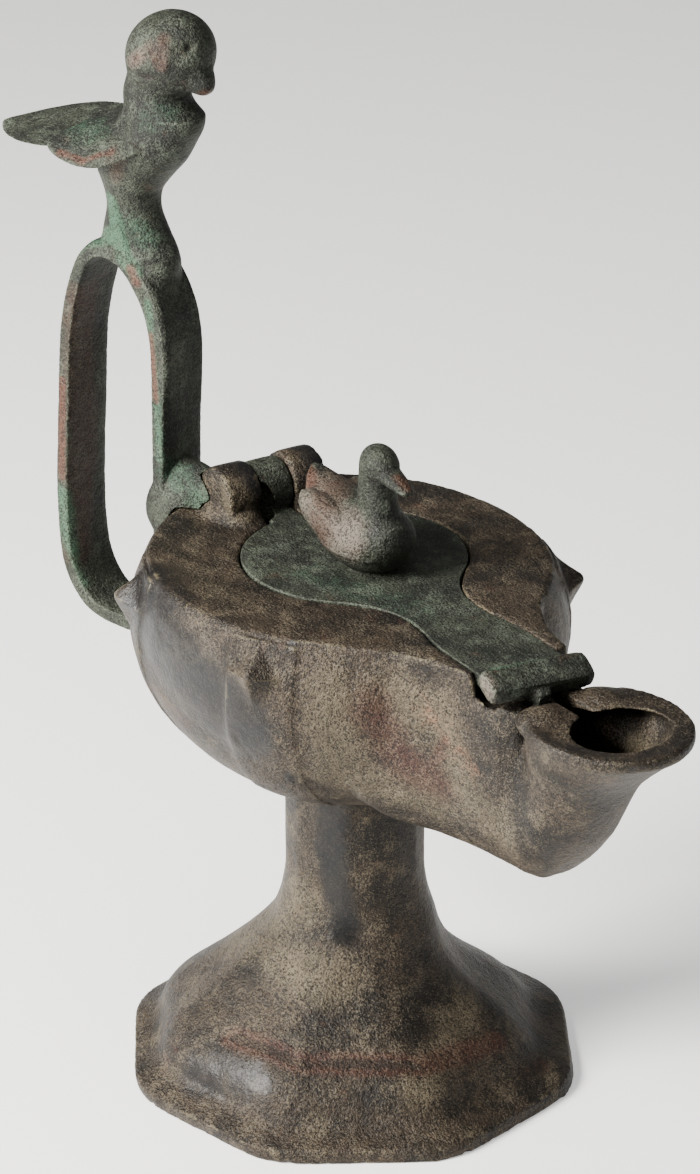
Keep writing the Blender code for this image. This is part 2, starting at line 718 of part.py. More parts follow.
def make_lid(parts, tools):
    """The lid: plate, knuckle, cross-bar and duck, with the hinge axis at its origin."""
    floor = TOP_Z - HINGE_Z
    lid = flat_piece("lid_plate", lid_outline(0.0), LID_THICKNESS, floor, parts)
    lid.name = "lid"
    lid.data.name = "lid"
    knuckle = rod("knuckle", Vector(), KNUCKLE_RADIUS, KNUCKLE_WIDTH, 24, tools)
    arm_length = DISC_X - DISC_RADIUS * 0.75
    arm = block("knuckle_arm", Vector((arm_length / 2, 0.0, floor - LID_THICKNESS * 0.51)),
                (arm_length, KNUCKLE_WIDTH * 0.98, LID_THICKNESS * 0.96), Matrix(), tools)
    bar = cross_bar("cross_bar", 0.0, tools)
    joined = [as_tool(piece) for piece in [knuckle, arm, bar, prong("prong", 0.0, tools)] + duck(tools)]
    combine(lid, joined, "UNION")
    bore = rod("knuckle_bore", Vector(), PIN_RADIUS + PIN_CLEARANCE, KNUCKLE_WIDTH * 2, 20, tools)
    notch_place = Vector((KNUCKLE_RADIUS * 0.85, -KNUCKLE_WIDTH / 2, -KNUCKLE_RADIUS * 0.5))
    notch_halves = (KNUCKLE_RADIUS * 0.48, KNUCKLE_WIDTH * 0.42, KNUCKLE_RADIUS * 1.1)
    notch = ball("knuckle_notch", notch_place, notch_halves, Matrix(), tools, 12, 6)
    combine(lid, [as_tool(bore), as_tool(notch)], "DIFFERENCE")
    for piece in joined + [bore, notch, lid]:
        piece.matrix_world = hinge_frame() @ piece.matrix_world
    return lid


def make_pin(parts):
    """The hinge pin, hidden in the lugs."""
    pin = rod("hinge_pin", Vector(), PIN_RADIUS, PIN_LENGTH, 20, parts)
    pin.matrix_world = hinge_frame()
    return pin


# Handle and bird


def handle_point(reach, across, height):
    """A place in the handle's own frame: out from the foot's axis, across the strap, and up."""
    return Vector((-reach, -across, height))


def strap(collection):
    """The strap: from the bowl's lower wall, out and up, over, and down beside the bowl."""
    middle = (FRONT_LIMB_R + BACK_LIMB_R) / 2
    turn_low = LOOP_BOTTOM_Z + 0.0016
    landing_r = wall_at(LOOP_BOTTOM_Z)[0] - WALL / 2
    crown = LOOP_TOP_Z
    route = [(landing_r, turn_low), (landing_r + 0.0100, turn_low), (BACK_LIMB_R - 0.0105, turn_low),
             (BACK_LIMB_R - 0.0042, LOOP_BOTTOM_Z + 0.0050), (BACK_LIMB_R - 0.0004, LOOP_BOTTOM_Z + 0.0125),
             (BACK_LIMB_R + 0.0004, LOOP_BOTTOM_Z + 0.0280), (BACK_LIMB_R - 0.0008, crown - 0.0370),
             (BACK_LIMB_R - 0.0018, crown - 0.0210), (BACK_LIMB_R - 0.0052, crown - 0.0080),
             (middle + 0.0042, crown - 0.0012), (middle - 0.0038, crown - 0.0012),
             (FRONT_LIMB_R + 0.0030, crown - 0.0085), (FRONT_LIMB_R, crown - 0.0180),
             (FRONT_LIMB_R, crown - 0.0340), (FRONT_LIMB_R, TOP_Z + 0.0020),
             (FRONT_LIMB_R + 0.0002, BOWL_Z + 0.0060), (FRONT_LIMB_R - 0.0006, BOWL_Z)]
    path = smooth_path(route, 2)
    rings = []
    for index, (reach, height) in enumerate(path):
        before = path[max(index - 1, 0)]
        after = path[min(index + 1, len(path) - 1)]
        along = Vector((after[0] - before[0], after[1] - before[1])).normalized()
        half_thick = STRAP_THICKNESS / 2
        half_wide = STRAP_WIDTH / 2
        on_front = index > len(path) * 0.62
        ridge = half_thick * (1.55 if on_front else 1.0)
        swell = 1.0
        if on_front:
            share = min(1.0, max(0.0, (height - (crown - SWELL_RUN)) / (SWELL_RUN - 0.0090)))
            swell += SWELL * share * share * (3 - 2 * share)
        corners = ((half_wide, -half_thick * 0.75 * swell), (half_wide, half_thick * 0.75),
                   (half_wide * 0.86, half_thick), (0.12 * half_wide, ridge),
                   (-half_wide * 0.86, half_thick), (-half_wide, half_thick * 0.75),
                   (-half_wide, -half_thick * 0.75 * swell), (-half_wide * 0.86, -half_thick * swell),
                   (half_wide * 0.86, -half_thick * swell))
        ring = []
        for across, out in corners:
            ring.append(handle_point(reach + along.y * -out, across, height + along.x * out))
        rings.append(ring)
    return loft("strap", rings, collection)


def bird_core(collection):
    """The post above the loop, the bird's body and its neck, as one run of level ovals."""
    rise = BIRD_TOP_Z - WAIST_Z
    crown = LOOP_TOP_Z
    lead = POST_R
    wide = STRAP_WIDTH / 2
    stations = [(crown - 0.0086, lead - 0.0088, 0.0020, wide * 0.84),
                (crown - 0.0044, lead - 0.0062, 0.0047, wide * 0.93),
                (crown - 0.0016, lead - 0.0024, 0.0092, wide * 0.98),
                (crown + 0.0008, lead - 0.0015, 0.0094, wide * 1.00),
                (crown + 0.0044, lead - 0.0006, 0.0076, WAIST_RADIUS * 1.08),
                (WAIST_Z, lead - 0.0001, WAIST_RADIUS * 1.03, WAIST_RADIUS * 0.98),
                (WAIST_Z + 0.085 * rise, lead, WAIST_RADIUS * 1.05, WAIST_RADIUS * 1.08),
                (WAIST_Z + 0.175 * rise, lead - 0.0008, WAIST_RADIUS * 1.50, WAIST_RADIUS * 1.36),
                (WAIST_Z + 0.270 * rise, lead - 0.0034, WAIST_RADIUS * 1.80, WAIST_RADIUS * 1.46),
                (WAIST_Z + 0.370 * rise, lead - 0.0060, WAIST_RADIUS * 1.82, WAIST_RADIUS * 1.42),
                (WAIST_Z + 0.440 * rise, lead - 0.0082, WAIST_RADIUS * 1.79, WAIST_RADIUS * 1.33),
                (WAIST_Z + 0.500 * rise, lead - 0.0092, WAIST_RADIUS * 1.70, WAIST_RADIUS * 1.24),
                (WAIST_Z + 0.535 * rise, lead - 0.0078, WAIST_RADIUS * 1.42, WAIST_RADIUS * 1.22),
                (WAIST_Z + 0.590 * rise, lead - 0.0068, WAIST_RADIUS * 1.27, WAIST_RADIUS * 1.22),
                (WAIST_Z + 0.740 * rise, lead - 0.0090, WAIST_RADIUS * 1.20, WAIST_RADIUS * 1.20)]
    rings = []
    for height, reach, half_long, half_wide in stations:
        rings.append(oval(handle_point(reach, 0.0, height), Vector((half_long, 0.0, 0.0)),
                          Vector((0.0, half_wide, 0.0)), 18))
    return loft("bird_core", rings, collection)


def leaf(name, root, tip, half_width, half_thick, dish, roll, collection):
    """A pointed leaf with a lens section, from root to tip, dished and rolled about its length."""
    along = (tip - root).normalized()
    across = along.cross(Vector((0.0, 0.0, 1.0))).normalized()
    across.rotate(Matrix.Rotation(roll, 3, along))
    normal = across.cross(along)
    rings = []
    shares = ((0.0, 0.55), (0.14, 0.78), (0.32, 0.96), (0.50, 1.0), (0.68, 0.86), (0.83, 0.60),
              (0.94, 0.33), (1.0, 0.08))
    for run, width in shares:
        middle = root.lerp(tip, run)
        thick = half_thick * (1.15 - 0.55 * run)
        ring = []
        for index in range(10):
            angle = 2 * math.pi * index / 10
            side = math.cos(angle)
            rise = dish * half_width * (width * side) ** 2
            ring.append(middle + across * (side * width * half_width)
                        + normal * (math.sin(angle) * thick + rise))
        rings.append(ring)
    return loft(name, rings, collection)


def bird_head(collection):
    """The bird's round head and its short drooping beak."""
    rise = BIRD_TOP_Z - WAIST_Z
    head_half = 0.196 * rise
    centre = handle_point(POST_R - 0.0110, 0.0, BIRD_TOP_Z - head_half * 1.09)
    head = ball("bird_head", centre, (0.238 * rise, 0.196 * rise, head_half),
                Matrix.Rotation(math.radians(-27.0), 4, "Y"), collection, 16, 10)
    beak_stations = ((0.090, -0.030, 0.130), (0.150, -0.078, 0.112), (0.192, -0.110, 0.086),
                     (0.220, -0.132, 0.056), (0.232, -0.142, 0.026))
    rings = []
    for forward, up, half in beak_stations:
        place = centre + Vector((forward * rise, 0.0, up * rise))
        rings.append(oval(place, Vector((half * rise * 0.56, 0.0, half * rise * 0.56)),
                          Vector((0.0, half * rise * 0.8, 0.0)), 14))
    return [head, loft("bird_beak", rings, collection)]


def root_lump(collection):
    """The swollen root that runs from the strap over the rim to the back of the hinge."""
    shares = ((0.0046, -0.0085, 0.0025, 0.88), (0.0022, -0.0120, 0.0080, 1.02),
              (-0.0020, -0.0130, 0.0088, 1.14), (-0.0058, -0.0120, 0.0084, 1.10),
              (-0.0090, -0.0090, 0.0078, 0.84), (-0.0120, -0.0050, 0.0070, 0.64),
              (-0.0160, -0.0020, 0.0052, 0.46))
    rings = []
    for out, low, high, wide in shares:
        centre = handle_point(FRONT_LIMB_R + out, 0.0, TOP_Z + (low + high) / 2)
        rings.append(oval(centre, Vector((0.0, STRAP_WIDTH / 2 * wide, 0.0)),
                          Vector((0.0, 0.0, (high - low) / 2)), 16))
    return loft("root_lump", rings, collection)


def make_handle(parts, tools):
    """The handle: strap loop, post and bird, with the root that grips the bowl's rim."""
    rise = BIRD_TOP_Z - WAIST_Z
    handle = strap(parts)
    handle.name = "handle"
    handle.data.name = "handle"
    wing_z = WAIST_Z + 0.400 * rise
    tail_root = handle_point(POST_R - 0.0020, 0.0, WAIST_Z + 0.375 * rise)
    tail_tip = handle_point(TAIL_TIP_R, 0.0, WAIST_Z + 0.225 * rise)
    joined = [bird_core(tools)] + bird_head(tools) + [root_lump(tools)]
    joined.append(leaf("tail", tail_root, tail_tip, TAIL_HALF, 0.0013, 0.06, TAIL_ROLL, tools))
    for side in (-1, 1):
        root = handle_point(POST_R - 0.0078, side * WAIST_RADIUS * 0.47, wing_z + 0.0012)
        tip = handle_point(POST_R + 0.0128, side * 0.0115, wing_z - 0.0047)
        joined.append(leaf("wing_" + ("near" if side < 0 else "far"), root, tip, 0.0084, 0.0015, -0.14,
                           side * WING_ROLL, tools))
    combine(handle, [as_tool(piece) for piece in joined], "UNION")
    turn = Matrix.Rotation(HANDLE_TURN, 4, "Z")
    for piece in joined + [handle]:
        piece.matrix_world = turn @ piece.matrix_world
    cut = [as_tool(bowl_solid("bowl_clearance", GAP + STRIP_RISE, TOP_Z + GAP, tools))]
    for side in (-1, 1):
        cut += lug_solids(side, GAP, tools)
    free = rod("knuckle_clearance", Vector(), KNUCKLE_RADIUS + 2 * GAP, KNUCKLE_WIDTH + 4 * GAP, 22, tools)
    free.matrix_world = hinge_frame()
    combine(handle, cut + [as_tool(free)], "DIFFERENCE")
    return handle


def settle(pieces):
    """Moves the finished lamp so that the origin lies under the middle of its box."""
    bpy.context.view_layer.update()
    graph = bpy.context.evaluated_depsgraph_get()
    corners = []
    for piece in pieces:
        solid = piece.evaluated_get(graph)
        corners += [solid.matrix_world @ vertex.co for vertex in solid.data.vertices]
    low = Vector(min(corner[axis] for corner in corners) for axis in range(3))
    high = Vector(max(corner[axis] for corner in corners) for axis in range(3))
    shift = Vector((-(low.x + high.x) / 2, -(low.y + high.y) / 2, -low.z))
    move = Matrix.Translation(shift)
    for item in bpy.data.objects:
        item.matrix_world = move @ item.matrix_world
    return shift


def main():
    clear_scene()
    parts = new_collection("bronze_oil_lamp")
    tools = new_collection("cutters")
    brown = bronze("brown_bronze", (0.17, 0.14, 0.105), 0.52, 0.75)
    green = bronze("green_bronze", (0.16, 0.21, 0.165), 0.58, 0.65)
    steel = bronze("pin_bronze", (0.10, 0.085, 0.07), 0.50, 0.80)
    pieces = {"lamp_body": (make_lamp_body(parts, tools), brown),
              "handle": (make_handle(parts, tools), green),
              "lid": (make_lid(parts, tools), green),
              "hinge_pin": (make_pin(parts), steel)}
    for piece, material in pieces.values():
        piece.data.materials.clear()
        piece.data.materials.append(material)
        piece.data.shade_smooth()
        piece.data.set_sharp_from_angle(angle=math.radians(35.0))
    settle([piece for piece, material in pieces.values()])


main()
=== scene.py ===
"""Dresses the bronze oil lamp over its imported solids: worn, patinated castings in a soft studio."""

import logging
import math
from dataclasses import dataclass
from enum import Enum

import bmesh
import bpy
import numpy as np
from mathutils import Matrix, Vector, noise
from mathutils.bvhtree import BVHTree
from mathutils.kdtree import KDTree


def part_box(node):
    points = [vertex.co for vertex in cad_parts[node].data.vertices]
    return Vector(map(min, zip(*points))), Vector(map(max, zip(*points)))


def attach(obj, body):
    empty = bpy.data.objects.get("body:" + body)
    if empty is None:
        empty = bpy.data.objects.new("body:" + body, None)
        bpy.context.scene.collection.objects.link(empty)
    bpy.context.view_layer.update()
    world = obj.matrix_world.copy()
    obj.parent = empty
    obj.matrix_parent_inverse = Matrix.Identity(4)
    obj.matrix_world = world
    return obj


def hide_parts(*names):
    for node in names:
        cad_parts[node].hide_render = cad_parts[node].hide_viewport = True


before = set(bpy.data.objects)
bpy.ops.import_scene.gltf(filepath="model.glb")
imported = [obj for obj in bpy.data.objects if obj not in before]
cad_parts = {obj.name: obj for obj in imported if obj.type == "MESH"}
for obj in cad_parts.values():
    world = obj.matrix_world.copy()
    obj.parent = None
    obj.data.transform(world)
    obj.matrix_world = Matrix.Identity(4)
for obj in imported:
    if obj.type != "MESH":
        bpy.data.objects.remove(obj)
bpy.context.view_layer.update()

LAMP_AXIS = Vector((-0.004894, 0.000335, 0.0))

# Sizes of the patina's patterns, in lumps to the metre
MOTTLE = 330.0
GRAIN = 2100.0
GRIT = 4200.0
SPECKS = 1150.0
STAIN = 140.0
WRINKLE = 720.0
SCAB = 230.0

# Sizes of the casting's own lumps, in lumps to the metre
BROAD_LUMPS = 95.0
FINE_LUMPS = 420.0

# Steps along a sharp line, and how far wear with painted highlight and grime with painted shade reach from
# it, in metres
LINE_STEP = 0.0003
WEAR_AND_HIGHLIGHT_REACH = 0.0006
DIRT_AND_SHADE_REACH = 0.0011
WELD = 0.000002
BEND_GAIN = 9.0

log = logging.getLogger("bronze_oil_lamp")


def lamp(x: float, y: float, z: float) -> Vector:
    """Turns centimetres on the lamp's own axis into a point in the frame.

    Args:
        x: Distance towards the spout.
        y: Distance to the left of someone who looks along the spout.
        z: Height above the table.

    Returns:
        The point in metres in the row's frame.
    """
    return Vector((x, y, z)) * 0.01 + LAMP_AXIS


def tone(code: str) -> tuple[float, float, float, float]:
    """Turns a colour as a screen shows it into the linear colour that a shader takes.

    Args:
        code: Six hexadecimal digits.

    Returns:
        Linear red, green, blue and a full alpha.
    """
    parts = [int(code[i:i + 2], 16) / 255.0 for i in (0, 2, 4)]
    linear = [p / 12.92 if p <= 0.04045 else ((p + 0.055) / 1.055) ** 2.4 for p in parts]
    return (linear[0], linear[1], linear[2], 1.0)


class Mark(Enum):
    """What a stroke lays on a casting; each value names the mesh attribute that holds it."""

    POLISH = "polish"
    SAND = "sand"
    VERDIGRIS = "verdigris"
    COPPER = "copper"
    RUST_AND_SHADE = "rust_and_shade"
    SOOT_AND_SHADE = "soot_and_shade"


class Finish(Enum):
    """The castings' patinas."""

    BROWN = "brown_bronze"
    GREEN = "green_bronze"
    PIN = "pin_bronze"


class Wire:
    """One number on its way between nodes, with the arithmetic written as Python."""

    def __init__(self, bench: "Bench", socket: bpy.types.NodeSocket) -> None:
        """Keeps the socket and the bench it belongs to.

        Args:
            bench: Where the node stands.
            socket: The output socket that carries the number.
        """
        self.bench = bench
        self.socket = socket

    def __add__(self, other: "Wire | float") -> "Wire":
        """Adds."""
        return self.bench.maths("ADD", self, other)

    def __radd__(self, other: float) -> "Wire":
        """Adds, with the number on the left."""
        return self.bench.maths("ADD", other, self)

    def __sub__(self, other: "Wire | float") -> "Wire":
        """Subtracts."""
        return self.bench.maths("SUBTRACT", self, other)

    def __rsub__(self, other: float) -> "Wire":
        """Subtracts from the number on the left."""
        return self.bench.maths("SUBTRACT", other, self)

    def __mul__(self, other: "Wire | float") -> "Wire":
        """Multiplies."""
        return self.bench.maths("MULTIPLY", self, other)

    def __rmul__(self, other: float) -> "Wire":
        """Multiplies, with the number on the left."""
        return self.bench.maths("MULTIPLY", other, self)

    def rise(self, start: float, end: float) -> "Wire":
        """Gives a smooth step from 0 at start to 1 at end.

        Args:
            start: Value at which the step begins.
            end: Value at which it is full; below start for a falling step.

        Returns:
            The step, from 0 to 1.
        """
        if end < start:
            return 1.0 - self.rise(end, start)
        node = self.bench.node(
            "ShaderNodeMapRange", {"interpolation_type": "SMOOTHSTEP"},
            {"Value": self, "From Min": start, "From Max": end, "To Min": 0.0, "To Max": 1.0})
        return Wire(self.bench, node.outputs["Result"])


class Bench:
    """Builds one material's nodes."""

    def __init__(self, name: str) -> None:
        """Starts an empty material.

        Args:
            name: Name of the material.
        """
        self.material = bpy.data.materials.new(name)
        self.material.use_nodes = True
        self.tree = self.material.node_tree
        self.tree.nodes.clear()
        self.place = self.node("ShaderNodeTexCoord").outputs["Object"]

    def node(self, kind: str, settings: dict | None = None, sockets: dict | None = None) -> bpy.types.Node:
        """Adds a node.

        Args:
            kind: The node's type.
            settings: Its properties, set first.
            sockets: Values or links for its inputs, by name or number.

        Returns:
            The node.
        """
        made = self.tree.nodes.new(kind)
        for key, value in (settings or {}).items():
            setattr(made, key, value)
        for key, value in (sockets or {}).items():
            target = made.inputs[key]
            if isinstance(value, Wire):
                value = value.socket
            if isinstance(value, bpy.types.NodeSocket):
                self.tree.links.new(value, target)
            else:
                target.default_value = value
        return made

    def maths(self, operation: str, first: Wire | float, second: Wire | float) -> Wire:
        """Adds a Math node.

        Args:
            operation: Name of its operation.
            first: First number.
            second: Second number.

        Returns:
            Its result.
        """
        made = self.node("ShaderNodeMath", {"operation": operation}, {0: first, 1: second})
        return Wire(self, made.outputs[0])

    def cloud(self, scale: float, detail: float = 2.0, rough: float = 0.5, shift: float = 0.0) -> Wire:
        """Adds a noise pattern on the object's own coordinates.

        Args:
            scale: Its lumps to the metre.
            detail: Octaves.
            rough: How strong the finer octaves are.
            shift: Moves the pattern, so that two of one scale differ.

        Returns:
            The noise, mostly between 0.3 and 0.7.
        """
        where = self.place
        if shift:
            where = self.node("ShaderNodeVectorMath", {"operation": "ADD"},
                              {0: where, 1: (shift, shift * 0.7, shift * 1.3)}).outputs[0]
        made = self.node("ShaderNodeTexNoise", {"noise_dimensions": "3D"},
                         {"Vector": where, "Scale": scale, "Detail": detail, "Roughness": rough})
        return Wire(self, made.outputs["Fac"])

    def cells(self, scale: float, shift: float = 0.0) -> Wire:
        """Adds round cells, each 0 in its middle.

        Args:
            scale: Cells to the metre.
            shift: Moves the pattern.

        Returns:
            The distance to the nearest cell's middle, in cells.
        """
        where = self.node("ShaderNodeVectorMath", {"operation": "ADD"},
                          {0: self.place, 1: (shift, -shift, shift * 0.6)}).outputs[0]
        made = self.node("ShaderNodeTexVoronoi", {"feature": "F1"}, {"Vector": where, "Scale": scale})
        return Wire(self, made.outputs["Distance"])

    def painted(self, name: str) -> Wire:
        """Reads a mesh attribute.

        Args:
            name: The attribute's name.

        Returns:
            Its value.
        """
        made = self.node("ShaderNodeAttribute", {"attribute_type": "GEOMETRY", "attribute_name": name})
        return Wire(self, made.outputs["Fac"])

    def blend(self, under: object, over: object, mask: Wire | float) -> bpy.types.NodeSocket:
        """Lays one colour over another.

        Args:
            under: Colour, or the socket that carries it.
            over: Colour, or the socket that carries it.
            mask: How far the second one shows.

        Returns:
            The socket of the mixed colour.
        """
        made = self.node("ShaderNodeMix", {"data_type": "RGBA", "blend_type": "MIX", "clamp_factor": True},
                         {0: mask, 6: under, 7: over})
        return made.outputs[2]


@dataclass(frozen=True)
class Patina:
    """A bronze casting's skin: broad clouds, sandy speckle, polish, verdigris, bare metal, wear with painted
    highlight on edges and ridges, and grime with painted shade in hollows.
    """

    name: str
    ground: str
    deep: str
    pale: str
    fleck: str
    sand: str = "9a8c72"
    polish: str = "2b2b2b"
    verdigris: str = "7c9a86"
    copper: str = "9c5f40"
    # Colour of reddish stains, and of the painted shade along the brown foot's shoulder crease.
    rust_and_shade: str = "6a3b2c"
    # Colour of soot, grime, dark flecks and pits, and of painted shade in hollows and grooves.
    soot_and_shade: str = "15120f"
    # Colour of rubbed wear, and of the painted highlight on arrises and ridges.
    wear_and_highlight: str = "8f856f"
    broad: float = 75.0
    sheen: float = 0.30
    matt: float = 0.62

    def make(self) -> bpy.types.Material:
        """Builds the material.

        Returns:
            The material.
        """
        bench = Bench(self.name)
        clouds = bench.cloud(self.broad, 3.0, 0.55)
        clouds_b = bench.cloud(self.broad * 2.2, 3.0, 0.6, shift=0.31)
        mottle = bench.cloud(MOTTLE, 3.0, 0.62, shift=0.17)
        grain = bench.cloud(GRAIN, 2.0, 0.65)
        grit = bench.cloud(GRIT, 1.0, 0.5, shift=0.07)
        specks = bench.cells(SPECKS, 0.13)
        stain = bench.cloud(STAIN, 4.0, 0.65, shift=0.53)
        wrinkle = bench.cloud(WRINKLE, 3.0, 0.7, shift=0.83)
        scab = bench.cloud(SCAB, 5.0, 0.72, shift=0.41)
        edge = bench.painted("edge")
        ridge = bench.painted("ridge")
        dale = bench.painted("dale")
        loose = (mottle - 0.5) * 1.3 + (grain - 0.5) * 0.7

        masks = {}
        for mark in Mark:
            masks[mark] = (bench.painted(mark.value) * 1.15 + loose * 0.55).rise(0.22, 0.95)

        polish = masks[Mark.POLISH]
        colour = bench.blend(tone(self.deep), tone(self.ground), clouds.rise(0.38, 0.60))
        colour = bench.blend(colour, tone(self.pale), clouds_b.rise(0.52, 0.64) * 0.6)
        colour = bench.blend(colour, tone(self.rust_and_shade), stain.rise(0.60, 0.70) * 0.45)
        colour = bench.blend(colour, tone(self.deep), scab.rise(0.49, 0.59) * 0.7)
        colour = bench.blend(colour, tone(self.sand), masks[Mark.SAND] * 0.5)
        colour = bench.blend(colour, tone(self.rust_and_shade), masks[Mark.RUST_AND_SHADE] * 0.7)
        colour = bench.blend(colour, tone(self.polish), polish * 0.88)
        colour = bench.blend(colour, tone(self.verdigris), masks[Mark.VERDIGRIS] * 0.85)
        # Lighter along arrises and raised ridges: partly rubbed wear, partly painted highlight where edges
        # catch the light.
        wear_and_highlight = (edge * 0.7 + ridge * 0.5 + (mottle - 0.5) * 2.6).rise(0.55, 1.0)
        colour = bench.blend(colour, tone(self.wear_and_highlight), wear_and_highlight * 0.28)
        colour = bench.blend(colour, tone(self.copper), masks[Mark.COPPER] * 0.9)
        # Darker in inner corners, carved grooves and inward bends: partly grime, partly painted shade in the
        # hollows.
        dirt_and_shade = (dale + (mottle - 0.5) * 1.2).rise(0.35, 0.8)
        colour = bench.blend(colour, tone(self.soot_and_shade), dirt_and_shade * 0.7)
        colour = bench.blend(colour, tone(self.soot_and_shade), masks[Mark.SOOT_AND_SHADE] * 0.92)

        calm = 1.0 - polish * 0.75
        light_fleck = (grain + (grit - 0.5) * 0.8 + (clouds_b - 0.5) * 0.5).rise(0.54, 0.68) * calm
        dark_fleck = (grain + (grit - 0.5) * 0.6 + (wrinkle - 0.5) * 0.6).rise(0.50, 0.36) * calm
        colour = bench.blend(colour, tone(self.fleck), light_fleck * 0.24)
        colour = bench.blend(colour, tone(self.soot_and_shade), dark_fleck * 0.8)
        pits = specks.rise(0.26, 0.12) * mottle.rise(0.50, 0.60) * calm
        colour = bench.blend(colour, tone(self.soot_and_shade), pits * 0.75)

        rough = self.matt - polish * (self.matt - self.sheen) + light_fleck * 0.14 + (grit - 0.5) * 0.25
        rough = rough - masks[Mark.COPPER] * 0.15 + masks[Mark.VERDIGRIS] * 0.12 + dirt_and_shade * 0.15
        metal = 0.24 - polish * 0.12 + masks[Mark.COPPER] * 0.15
        metal = metal * (1.0 - masks[Mark.VERDIGRIS] * 0.8)
        height = (mottle - 0.5) * 0.9 * calm + (grain - 0.5) * 0.55 * calm
        height = height + (grit - 0.5) * 0.22 * calm - pits * 0.45
        height = height + (clouds_b - 0.5) * 0.8 + (wrinkle - 0.5) * 0.8 * calm
        bump = bench.node("ShaderNodeBump", None, {"Strength": 1.0, "Distance": 0.00050, "Height": height})
        shader = bench.node("ShaderNodeBsdfPrincipled", None, {
            "Base Color": colour, "Roughness": rough, "Metallic": metal, "Specular IOR Level": 0.22,
            "Coat Weight": polish * 0.10, "Coat Roughness": 0.22,
            "Normal": bump.outputs["Normal"]})
        bench.node("ShaderNodeOutputMaterial", None, {"Surface": shader.outputs["BSDF"]})
        return bench.material


@dataclass(frozen=True)
class Stroke:
    """A patch or a line of one mark, laid where the lamp shows it."""

    mark: Mark
    path: tuple[tuple[float, float, float], ...]
    radius: float
    strength: float = 1.0


@dataclass(frozen=True)
class Carving:
    """A line cut into a casting, or a ridge raised on it where the depth is negative."""

    path: tuple[tuple[float, float, float], ...]
    width: float
    depth: float


@dataclass(frozen=True)
class Melt:
    """A stretch where the wax of the model ran together, so that corners are smoothed out."""

    path: tuple[tuple[float, float, float], ...]
    radius: float
    rounds: int = 60


def reach(points: np.ndarray, path: tuple[tuple[float, float, float], ...]) -> np.ndarray:
    """Measures how far points lie from a line of straight stretches.

    Args:
        points: The points, one to a row, in metres.
        path: The line's corners in centimetres on the lamp's own axis.

    Returns:
        The distance of each point in metres.
    """
    corners = [np.array(lamp(*corner)) for corner in path]
    best = np.linalg.norm(points - corners[0], axis=1)
    for start, end in zip(corners, corners[1:]):
        along = end - start
        share = np.clip(((points - start) @ along) / max(along @ along, 1e-12), 0.0, 1.0)
        best = np.minimum(best, np.linalg.norm(points - start - share[:, None] * along, axis=1))
    return best


def fade(values: np.ndarray, start: float, end: float) -> np.ndarray:
    """Gives a smooth step from 0 at start to 1 at end.

    Args:
        values: What is stepped.
        start: Where the step begins.
        end: Where it is full.

    Returns:
        The step for each value.
    """
    share = np.clip((values - start) / (end - start), 0.0, 1.0)
    return share * share * (3.0 - 2.0 * share)


@dataclass(frozen=True)
class Form:
    """What is read from a solid before it is split."""

    arrises: list[Vector]
    corners: list[Vector]
    tree: BVHTree
    breadths: list[float]


class Net:
    """A fine mesh's points and edges as arrays, so that all of them are worked at once."""

    def __init__(self, mesh: bpy.types.Mesh) -> None:
        """Reads the mesh.

        Args:
            mesh: The finely split mesh.
        """
        self.mesh = mesh
        self.count = len(mesh.vertices)
        places = np.empty(self.count * 3)
        mesh.vertices.foreach_get("co", places)
        self.places = places.reshape(-1, 3)
        ends = np.empty(len(mesh.edges) * 2, dtype=np.int64)
        mesh.edges.foreach_get("vertices", ends)
        self.ends = ends.reshape(-1, 2)
        self.degree = np.bincount(ends, minlength=self.count).astype(float)
        first, last = self.ends[:, 0], self.ends[:, 1]
        lengths = np.linalg.norm(self.places[first] - self.places[last], axis=1)
        total = np.bincount(first, lengths, self.count) + np.bincount(last, lengths, self.count)
        self.spacing = total / self.degree

    def around(self, values: np.ndarray, pairs: np.ndarray, per: np.ndarray) -> np.ndarray:
        """Averages values over each point's neighbours.

        Args:
            values: One row of numbers to a point.
            pairs: The edges that count, as pairs of points.
            per: How many of them each point has.

        Returns:
            The averages, one row to a point.
        """
        total = np.zeros_like(values)
        for axis in range(values.shape[1]):
            total[:, axis] = np.bincount(pairs[:, 0], values[pairs[:, 1], axis], self.count)
            total[:, axis] += np.bincount(pairs[:, 1], values[pairs[:, 0], axis], self.count)
        return total / per[:, None]

    def mean(self, values: np.ndarray) -> np.ndarray:
        """Averages rows of values over each point's neighbours along every edge."""
        return self.around(values, self.ends, self.degree)

    def even_out(self, values: np.ndarray, rounds: int) -> np.ndarray:
        """Spreads one number to a point over its neighbours.

        Args:
            values: The numbers.
            rounds: How often they are spread.

        Returns:
            The evened numbers.
        """
        column = values[:, None]
        for _ in range(rounds):
            column = 0.5 * column + 0.5 * self.mean(column)
        return column[:, 0]

    def write(self) -> np.ndarray:
        """Puts the points back into the mesh.

        Returns:
            The normal at each point.
        """
        self.mesh.vertices.foreach_set("co", self.places.ravel())
        self.mesh.update()
        normals = np.empty(self.count * 3)
        self.mesh.vertex_normals.foreach_get("vector", normals)
        return normals.reshape(-1, 3)

    def closeness(self, points: list[Vector], width: float) -> np.ndarray:
        """Measures how close each point of the mesh is to given points.

        Args:
            points: Places on some lines.
            width: How far their reach goes.

        Returns:
            1 on the lines, falling to 0 at the width from them.
        """
        if not points:
            return np.zeros(self.count)
        finder = KDTree(len(points))
        for index, point in enumerate(points):
            finder.insert(point, index)
        finder.balance()
        far = np.array([finder.find(Vector(p))[2] for p in self.places])
        return np.clip(1.0 - far / width, 0.0, 1.0)


